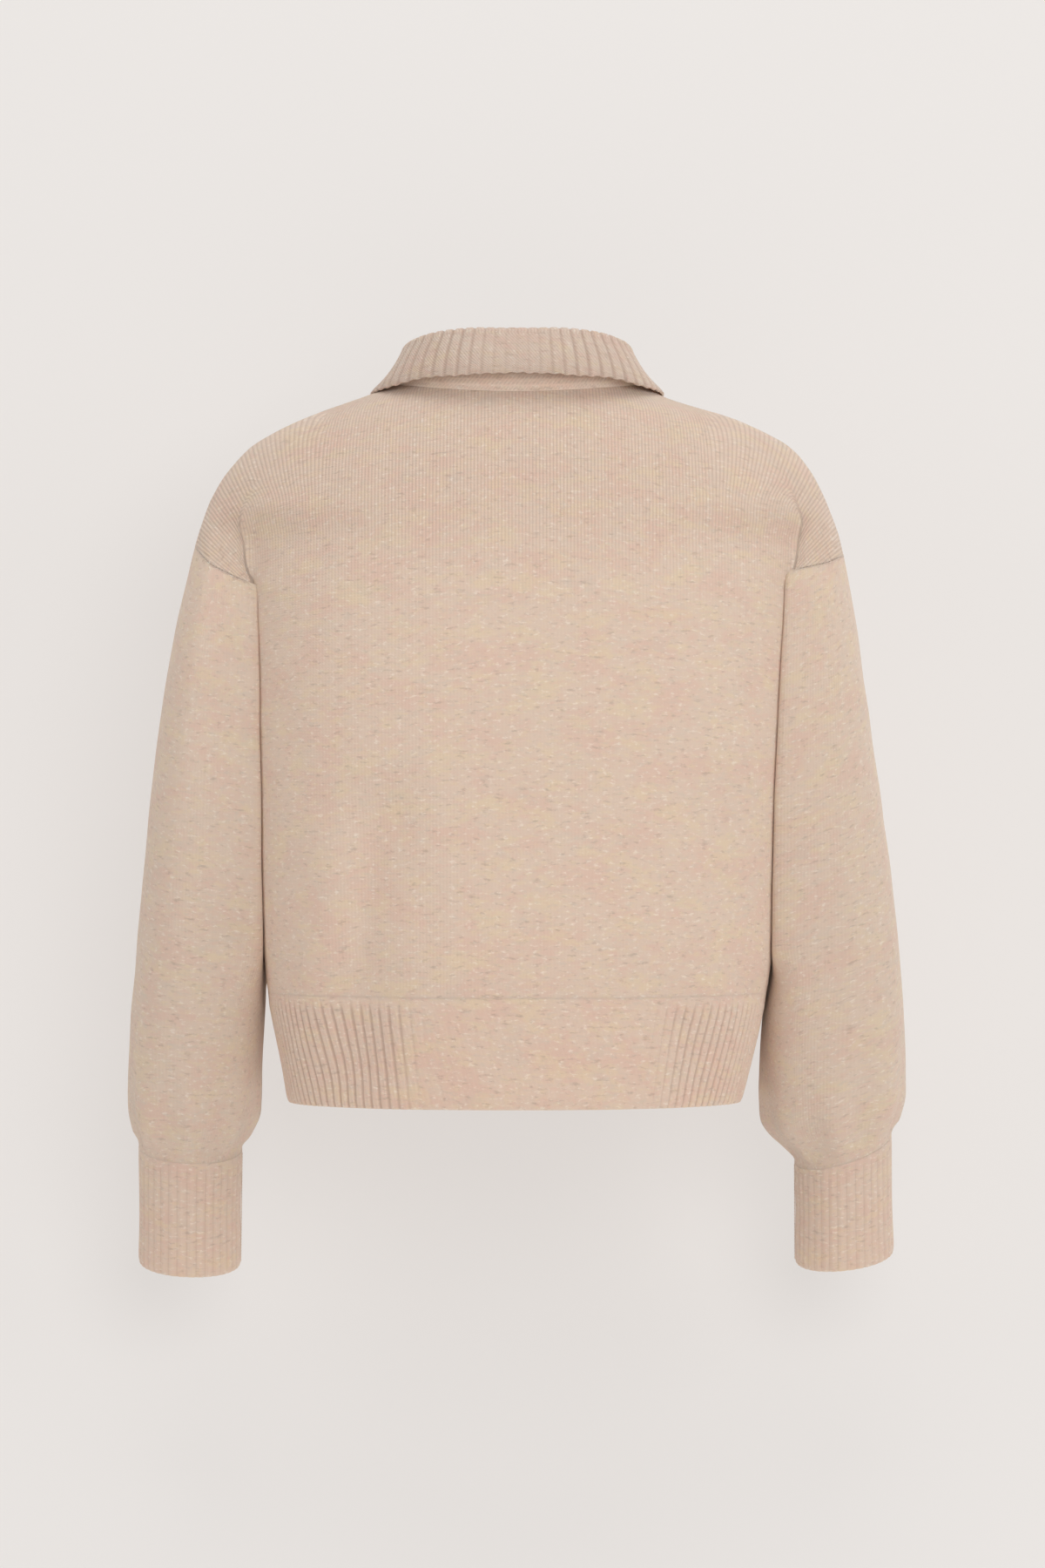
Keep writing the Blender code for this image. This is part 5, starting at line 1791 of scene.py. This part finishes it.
@dataclass(frozen=True)
class Finish:
    """Carded wool yarn, spun from fibres dyed apart, so the colour is flecked along each course.

    Its colours are the ground, a rosy, a straw and an ashen fibre, the shade painted between
    wales and in the ribs' valleys, and pale and dark flecks.
    """

    name: str
    slot: str
    ground: str = "#DCC5B4"
    rosy: str = "#DCBDAD"
    straw: str = "#DFC9AE"
    ash: str = "#CDC0B2"
    shade: str = "#B3998A"
    pale: str = "#EFE2D5"
    dark: str = "#A58C7C"
    # Real wales are about 1.8 mm apart, which is too fine to show, so they are drawn coarser
    wale_mm: float = 2.5
    course_mm: float = 2.1
    fleck_mm: float = 2.5
    patch_mm: float = 26.0
    wale_depth_mm: float = 0.32
    # How much painted shade lies between the wales, and in the ribs' valleys
    wale_shade: float = 0.45
    valley_shade: float = 0.55
    fuzz: float = 0.28
    soft: float = 0.4
    spread_mm: float = 5.0

    def material(self) -> bpy.types.Material:
        """Makes or finds the material.

        Returns:
            The material.
        """
        found = bpy.data.materials.get(self.name)
        if found is not None:
            return found
        material = bpy.data.materials.new(self.name)
        material.use_nodes = True
        tree = material.node_tree
        shader = tree.nodes["Principled BSDF"]
        knit = add_node(tree, "ShaderNodeAttribute", {"attribute_name": "knit"}, {})
        parts = add_node(tree, "ShaderNodeSeparateXYZ", {}, {0: knit.outputs["Vector"]})
        wale, stitch = self.loops(tree, parts)
        colour = self.colour(tree, knit, parts, wale, stitch)
        height = add_node(
            tree,
            "ShaderNodeMath",
            {"operation": "MULTIPLY_ADD"},
            {0: stitch, 1: 0.35, 2: wale},
        )
        amount = add_node(
            tree,
            "ShaderNodeMath",
            {"operation": "MULTIPLY"},
            {0: height.outputs[0], 1: parts.outputs["Z"]},
        )
        fuzz = add_node(
            tree,
            "ShaderNodeTexNoise",
            {"noise_dimensions": "3D"},
            {"Vector": self.object_place(tree), "Scale": 1.0 / (1.6 * MM), "Detail": 3.0},
        )
        rough = add_node(
            tree,
            "ShaderNodeMath",
            {"operation": "MULTIPLY_ADD"},
            {0: fuzz.outputs["Fac"], 1: 0.55, 2: amount.outputs[0]},
        )
        bump = add_node(
            tree,
            "ShaderNodeBump",
            {},
            {"Strength": 1.0, "Distance": self.wale_depth_mm * MM, "Height": rough.outputs[0]},
        )
        tree.links.new(colour, shader.inputs["Base Color"])
        tree.links.new(bump.outputs["Normal"], shader.inputs["Normal"])
        # Wool scatters light widely and has no gloss, but its fine hairs glow at grazing angles
        shader.inputs["Roughness"].default_value = 0.92
        shader.inputs["IOR"].default_value = 1.45
        shader.inputs["Specular IOR Level"].default_value = 0.22
        # Light spreads a few millimetres through the wool, so its deep folds aren't black
        shader.inputs["Subsurface Weight"].default_value = self.soft
        shader.inputs["Subsurface Radius"].default_value = (1.0, 0.8, 0.7)
        shader.inputs["Subsurface Scale"].default_value = self.spread_mm * MM
        shader.inputs["Sheen Weight"].default_value = self.fuzz
        shader.inputs["Sheen Roughness"].default_value = 0.55
        shader.inputs["Sheen Tint"].default_value = linear(self.pale)
        return material

    def object_place(self, tree: bpy.types.NodeTree) -> bpy.types.NodeSocket:
        """Gives each point's place in the object, in metres."""
        return add_node(tree, "ShaderNodeTexCoord", {}, {}).outputs["Object"]

    def loops(
        self, tree: bpy.types.NodeTree, parts: bpy.types.Node
    ) -> tuple[bpy.types.NodeSocket, bpy.types.NodeSocket]:
        """Draws the columns of loops, and the slanting legs of each loop.

        Args:
            tree: the material's nodes.
            parts: the place across and along the knit.

        Returns:
            Height of the wale and of the loop's legs, from 0 to 1.
        """
        across = add_node(
            tree,
            "ShaderNodeMath",
            {"operation": "MULTIPLY"},
            {0: parts.outputs["X"], 1: 2 * math.pi / self.wale_mm},
        )
        wave = add_node(
            tree, "ShaderNodeMath", {"operation": "COSINE"}, {0: across.outputs[0]}
        )
        wale = add_node(
            tree,
            "ShaderNodeMath",
            {"operation": "MULTIPLY_ADD"},
            {0: wave.outputs[0], 1: 0.5, 2: 0.5},
        )
        # Each leg leans from the middle of its wale, so that a course runs as a row of Vs
        lean = add_node(
            tree,
            "ShaderNodeMath",
            {"operation": "MULTIPLY_ADD"},
            {
                0: parts.outputs["Y"],
                1: 2 * math.pi / self.course_mm,
                2: add_node(
                    tree,
                    "ShaderNodeMath",
                    {"operation": "MULTIPLY"},
                    {0: wale.outputs[0], 1: 2.4},
                ).outputs[0],
            },
        )
        leg = add_node(tree, "ShaderNodeMath", {"operation": "SINE"}, {0: lean.outputs[0]})
        stitch = add_node(
            tree,
            "ShaderNodeMath",
            {"operation": "MULTIPLY_ADD"},
            {0: leg.outputs[0], 1: 0.5, 2: 0.5},
        )
        return wale.outputs[0], stitch.outputs[0]

    def stretched_noise(
        self,
        tree: bpy.types.NodeTree,
        knit: bpy.types.Node,
        size: float,
        stretch: float,
        shift: float,
    ) -> bpy.types.NodeSocket:
        """Draws noise that is longer along a course than across it.

        Args:
            tree: the material's nodes.
            knit: the place on the knit.
            size: its size along a wale, in millimetres.
            stretch: how many times longer it is along a course.
            shift: sets one noise apart from another.

        Returns:
            The noise.
        """
        place = add_node(
            tree,
            "ShaderNodeMapping",
            {},
            {
                "Vector": knit.outputs["Vector"],
                "Location": (shift, shift, shift),
                "Scale": (1.0 / (size * stretch), 1.0 / size, 0.0),
            },
        )
        noise = add_node(
            tree,
            "ShaderNodeTexNoise",
            {"noise_dimensions": "2D"},
            {"Vector": place.outputs[0], "Scale": 1.0, "Detail": 4.0, "Roughness": 0.62},
        )
        return noise.outputs["Fac"]

    def blended(
        self,
        tree: bpy.types.NodeTree,
        base: bpy.types.NodeSocket,
        other: str,
        where: bpy.types.NodeSocket,
        low: float,
        high: float,
        most: float,
    ) -> bpy.types.NodeSocket:
        """Lays a colour over another where a pattern is high.

        Args:
            tree: the material's nodes.
            base: the colour below.
            other: the colour above, in hex.
            where: the pattern.
            low: where the colour starts.
            high: where it is full.
            most: its largest share.

        Returns:
            The colour.
        """
        share = add_node(
            tree,
            "ShaderNodeMapRange",
            {"clamp": True, "interpolation_type": "SMOOTHSTEP"},
            {"Value": where, "From Min": low, "From Max": high, "To Min": 0.0, "To Max": most},
        )
        mix = add_node(
            tree,
            "ShaderNodeMix",
            {"data_type": "RGBA"},
            {"Factor": share.outputs[0], 6: base, 7: linear(other)},
        )
        return mix.outputs[2]

    def colour(
        self,
        tree: bpy.types.NodeTree,
        knit: bpy.types.Node,
        parts: bpy.types.Node,
        wale: bpy.types.NodeSocket,
        stitch: bpy.types.NodeSocket,
    ) -> bpy.types.NodeSocket:
        """Blends the yarn's fibres, and paints shade between the wales and in the ribs' valleys.

        Args:
            tree: the material's nodes.
            knit: the place on the knit.
            parts: its parts.
            wale: height of the wales.
            stitch: height of the loops' legs; not used.

        Returns:
            The colour.
        """
        ground = add_node(tree, "ShaderNodeRGB", {}, {})
        ground.outputs[0].default_value = linear(self.ground)
        colour = ground.outputs[0]
        layers = (
            (self.rosy, self.patch_mm, 1.6, 3.0, 0.46, 0.64, 0.75),
            (self.straw, self.patch_mm * 0.7, 1.9, 17.0, 0.50, 0.68, 0.75),
            (self.ash, self.patch_mm * 0.6, 2.0, 23.0, 0.54, 0.72, 0.28),
            (self.rosy, self.fleck_mm * 2.0, 2.4, 29.0, 0.50, 0.70, 0.60),
            (self.straw, self.fleck_mm * 1.7, 2.8, 43.0, 0.52, 0.70, 0.55),
            (self.ash, self.fleck_mm * 1.4, 2.8, 51.0, 0.54, 0.72, 0.35),
            (self.pale, self.fleck_mm, 2.2, 57.0, 0.56, 0.74, 0.60),
            (self.dark, self.fleck_mm * 1.2, 3.0, 71.0, 0.56, 0.76, 0.40),
        )
        for tone, size, stretch, shift, low, high, most in layers:
            where = self.stretched_noise(tree, knit, size, stretch, shift)
            colour = self.blended(tree, colour, tone, where, low, high, most)
        # Painted shade between the wales, as strong as the knit's contrast
        valley = add_node(
            tree,
            "ShaderNodeMath",
            {"operation": "SUBTRACT"},
            {0: 1.0, 1: wale},
        )
        deep = add_node(
            tree,
            "ShaderNodeMath",
            {"operation": "MULTIPLY"},
            {0: valley.outputs[0], 1: parts.outputs["Z"]},
        )
        colour = self.blended(
            tree, colour, self.shade, deep.outputs[0], 0.25, 1.0, self.wale_shade
        )
        # Painted shade: yarn deep between two ribs or stitches is darkened with the shade colour
        ribs = add_node(tree, "ShaderNodeAttribute", {"attribute_name": "valley"}, {})
        return self.blended(
            tree, colour, self.shade, ribs.outputs["Fac"], 0.15, 1.0, self.valley_shade
        )


JERSEY = Finish("carded_wool_jersey", "jersey")
RIB = Finish(
    "carded_wool_rib",
    "rib",
    wale_mm=3.3,
    wale_depth_mm=0.22,
    wale_shade=0.25,
)
# Painted shade: a darker copy of the rib yarn for the collar, whose leaf leans up to the lights,
# with more painted shade between its wales
SHADED_COLLAR_RIB = Finish(
    "carded_wool_collar_rib_shaded",
    "rib",
    ground="#D2BFB1",
    rosy="#D2B6A8",
    straw="#D4C1A9",
    pale="#E5D8CB",
    wale_mm=2.4,
    wale_depth_mm=0.30,
    wale_shade=0.45,
)
# Painted light: a lighter copy of the yarn for the neckband, against the shadow of the collar's
# leaf over it; its stitches keep some painted shade between them
LIGHTENED_BAND = Finish(
    "carded_wool_linking_band_lightened",
    "rib",
    ground="#E3CDBD",
    rosy="#E2C5B5",
    straw="#E5D1BA",
    wale_depth_mm=0.15,
    wale_shade=0.1,
    valley_shade=0.35,
)
YARN = Finish(
    "wool_linking_yarn",
    "jersey",
    ground="#D6BFAE",
    wale_depth_mm=0.1,
    wale_shade=0.1,
)


# ------------------------------------------------------------------ studio


@dataclass(frozen=True)
class SoftLight:
    """A large soft box that points at the sweater."""

    name: str
    place: tuple[float, float, float]
    size: float
    watts: float
    colour: str = "#FFFFFF"

    def build(self, target: tuple[float, float, float]) -> None:
        """Builds the light.

        Args:
            target: the point that it faces.
        """
        lamp = bpy.data.lights.new(self.name, "AREA")
        lamp.shape = "DISK"
        lamp.size = self.size
        lamp.energy = self.watts
        lamp.color = linear(self.colour)[:3]
        item = bpy.data.objects.new(self.name, lamp)
        item.location = self.place
        way = np.array(target) - np.array(self.place)
        flat = math.hypot(way[0], way[1])
        item.rotation_euler = (
            math.pi / 2 + math.atan2(way[2], flat),
            0.0,
            math.atan2(-way[0], way[1]),
        )
        bpy.context.scene.collection.objects.link(item)


@dataclass(frozen=True)
class Studio:
    """A pale seamless backdrop and floor, soft boxes, and the camera behind the sweater."""

    distance: float = 3.5
    middle_x: float = -0.0039
    middle_z: float = -0.2912
    frame_height: float = 1.17
    film_mm: float = 24.0
    wall_y: float = -0.235
    floor_z: float = -1.02
    paper: str = "#E7E3E0"
    shaded_paper: str = "#92908E"
    glow: float = 0.68

    def build(self) -> None:
        """Builds the backdrop, lights and camera."""
        bpy.context.scene.view_settings.view_transform = "Standard"
        self.backdrop()
        centre = (self.middle_x, 0.0, self.middle_z)
        SoftLight("key_softbox", (-0.7, 3.4, 0.45), 1.8, 42.0).build(centre)
        SoftLight("top_softbox", (0.0, 0.9, 2.2), 2.0, 25.0).build(centre)
        SoftLight("right_softbox", (-2.6, 1.6, 0.6), 1.6, 19.5).build(centre)
        SoftLight("left_softbox", (2.6, 1.6, 0.6), 1.6, 15.0).build(centre)
        SoftLight("front_softbox", (0.3, -2.6, 0.9), 2.4, 40.0).build(centre)
        world = bpy.data.worlds.new("studio_air")
        world.use_nodes = True
        back = world.node_tree.nodes["Background"]
        back.inputs["Color"].default_value = linear("#F4F3F2")
        back.inputs["Strength"].default_value = 0.20
        bpy.context.scene.world = world
        lens = bpy.data.cameras.new("photo_camera")
        lens.sensor_fit = "VERTICAL"
        lens.sensor_height = self.film_mm
        lens.lens = self.film_mm * self.distance / self.frame_height
        camera = bpy.data.objects.new("photo_camera", lens)
        camera.location = (self.middle_x, self.distance, self.middle_z)
        camera.rotation_euler = (math.pi / 2, 0.0, math.pi)
        bpy.context.scene.collection.objects.link(camera)
        bpy.context.scene.camera = camera

    def backdrop(self) -> None:
        """Builds a sheet of paper that runs from the wall over a wide bend to the floor."""
        bend = 0.45
        turn = np.linspace(0.0, np.pi / 2, 24)
        y = np.concatenate(
            [[self.wall_y], self.wall_y + bend * (1.0 - np.cos(turn)), [self.wall_y + 4.0]]
        )
        z = np.concatenate([[2.2], self.floor_z + bend * (1.0 - np.sin(turn)), [self.floor_z]])
        x = np.array([-3.5, 3.5])
        grid = np.stack(
            [
                np.broadcast_to(x[None, :], (len(y), 2)),
                np.broadcast_to(y[:, None], (len(y), 2)),
                np.broadcast_to(z[:, None], (len(y), 2)),
            ],
            axis=-1,
        )
        numbers = np.arange(len(y) * 2).reshape(len(y), 2)
        paper = link_quads("backdrop_paper", grid.reshape(-1, 3) / MM, quads_of(numbers), None)
        material = bpy.data.materials.new("matt_backdrop_paper")
        material.use_nodes = True
        shader = material.node_tree.nodes["Principled BSDF"]
        # Painted light: the paper glows as well as reflecting the lamps, which leaves only faint
        # shadows on it
        shader.inputs["Base Color"].default_value = linear(self.shaded_paper)
        shader.inputs["Emission Color"].default_value = linear(self.paper)
        shader.inputs["Emission Strength"].default_value = self.glow
        shader.inputs["Roughness"].default_value = 1.0
        shader.inputs["Specular IOR Level"].default_value = 0.0
        paper.data.materials.append(material)
        paper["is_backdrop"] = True


# ------------------------------------------------------------------ the sweater


def main() -> None:
    """Builds every piece of the sweater and its studio, in order."""
    logging.basicConfig(level=logging.INFO, format="%(message)s")
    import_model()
    solid_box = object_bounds()
    for panel in Panel:
        JerseyPanel(panel, Sheet(0.66, 0.50, 0.24)).build(JERSEY)
        HemRib(panel, Sheet(0.46, 0.082, 0.0377)).build(RIB)
    for hand in Hand:
        JerseySleeve(hand, Sheet(0.36, 0.44, 0.149)).build(JERSEY)
        CuffRib(hand, Sheet(0.235, 0.092, 0.0216)).build(RIB)
    NeckBand(Sheet(0.56, 0.0145, 0.0068)).build(LIGHTENED_BAND)
    CollarRib(Sheet(0.57, 0.095, 0.0498)).build(SHADED_COLLAR_RIB)
    Sewing().build(YARN)
    Studio().build()
    boxes = {
        "solids": [list(corner) for corner in solid_box],
        "visual": [list(corner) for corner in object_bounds()],
    }
    for name, corners in boxes.items():
        log.info("%s box: %s", name, corners)


if __name__ == "__main__":
    main()
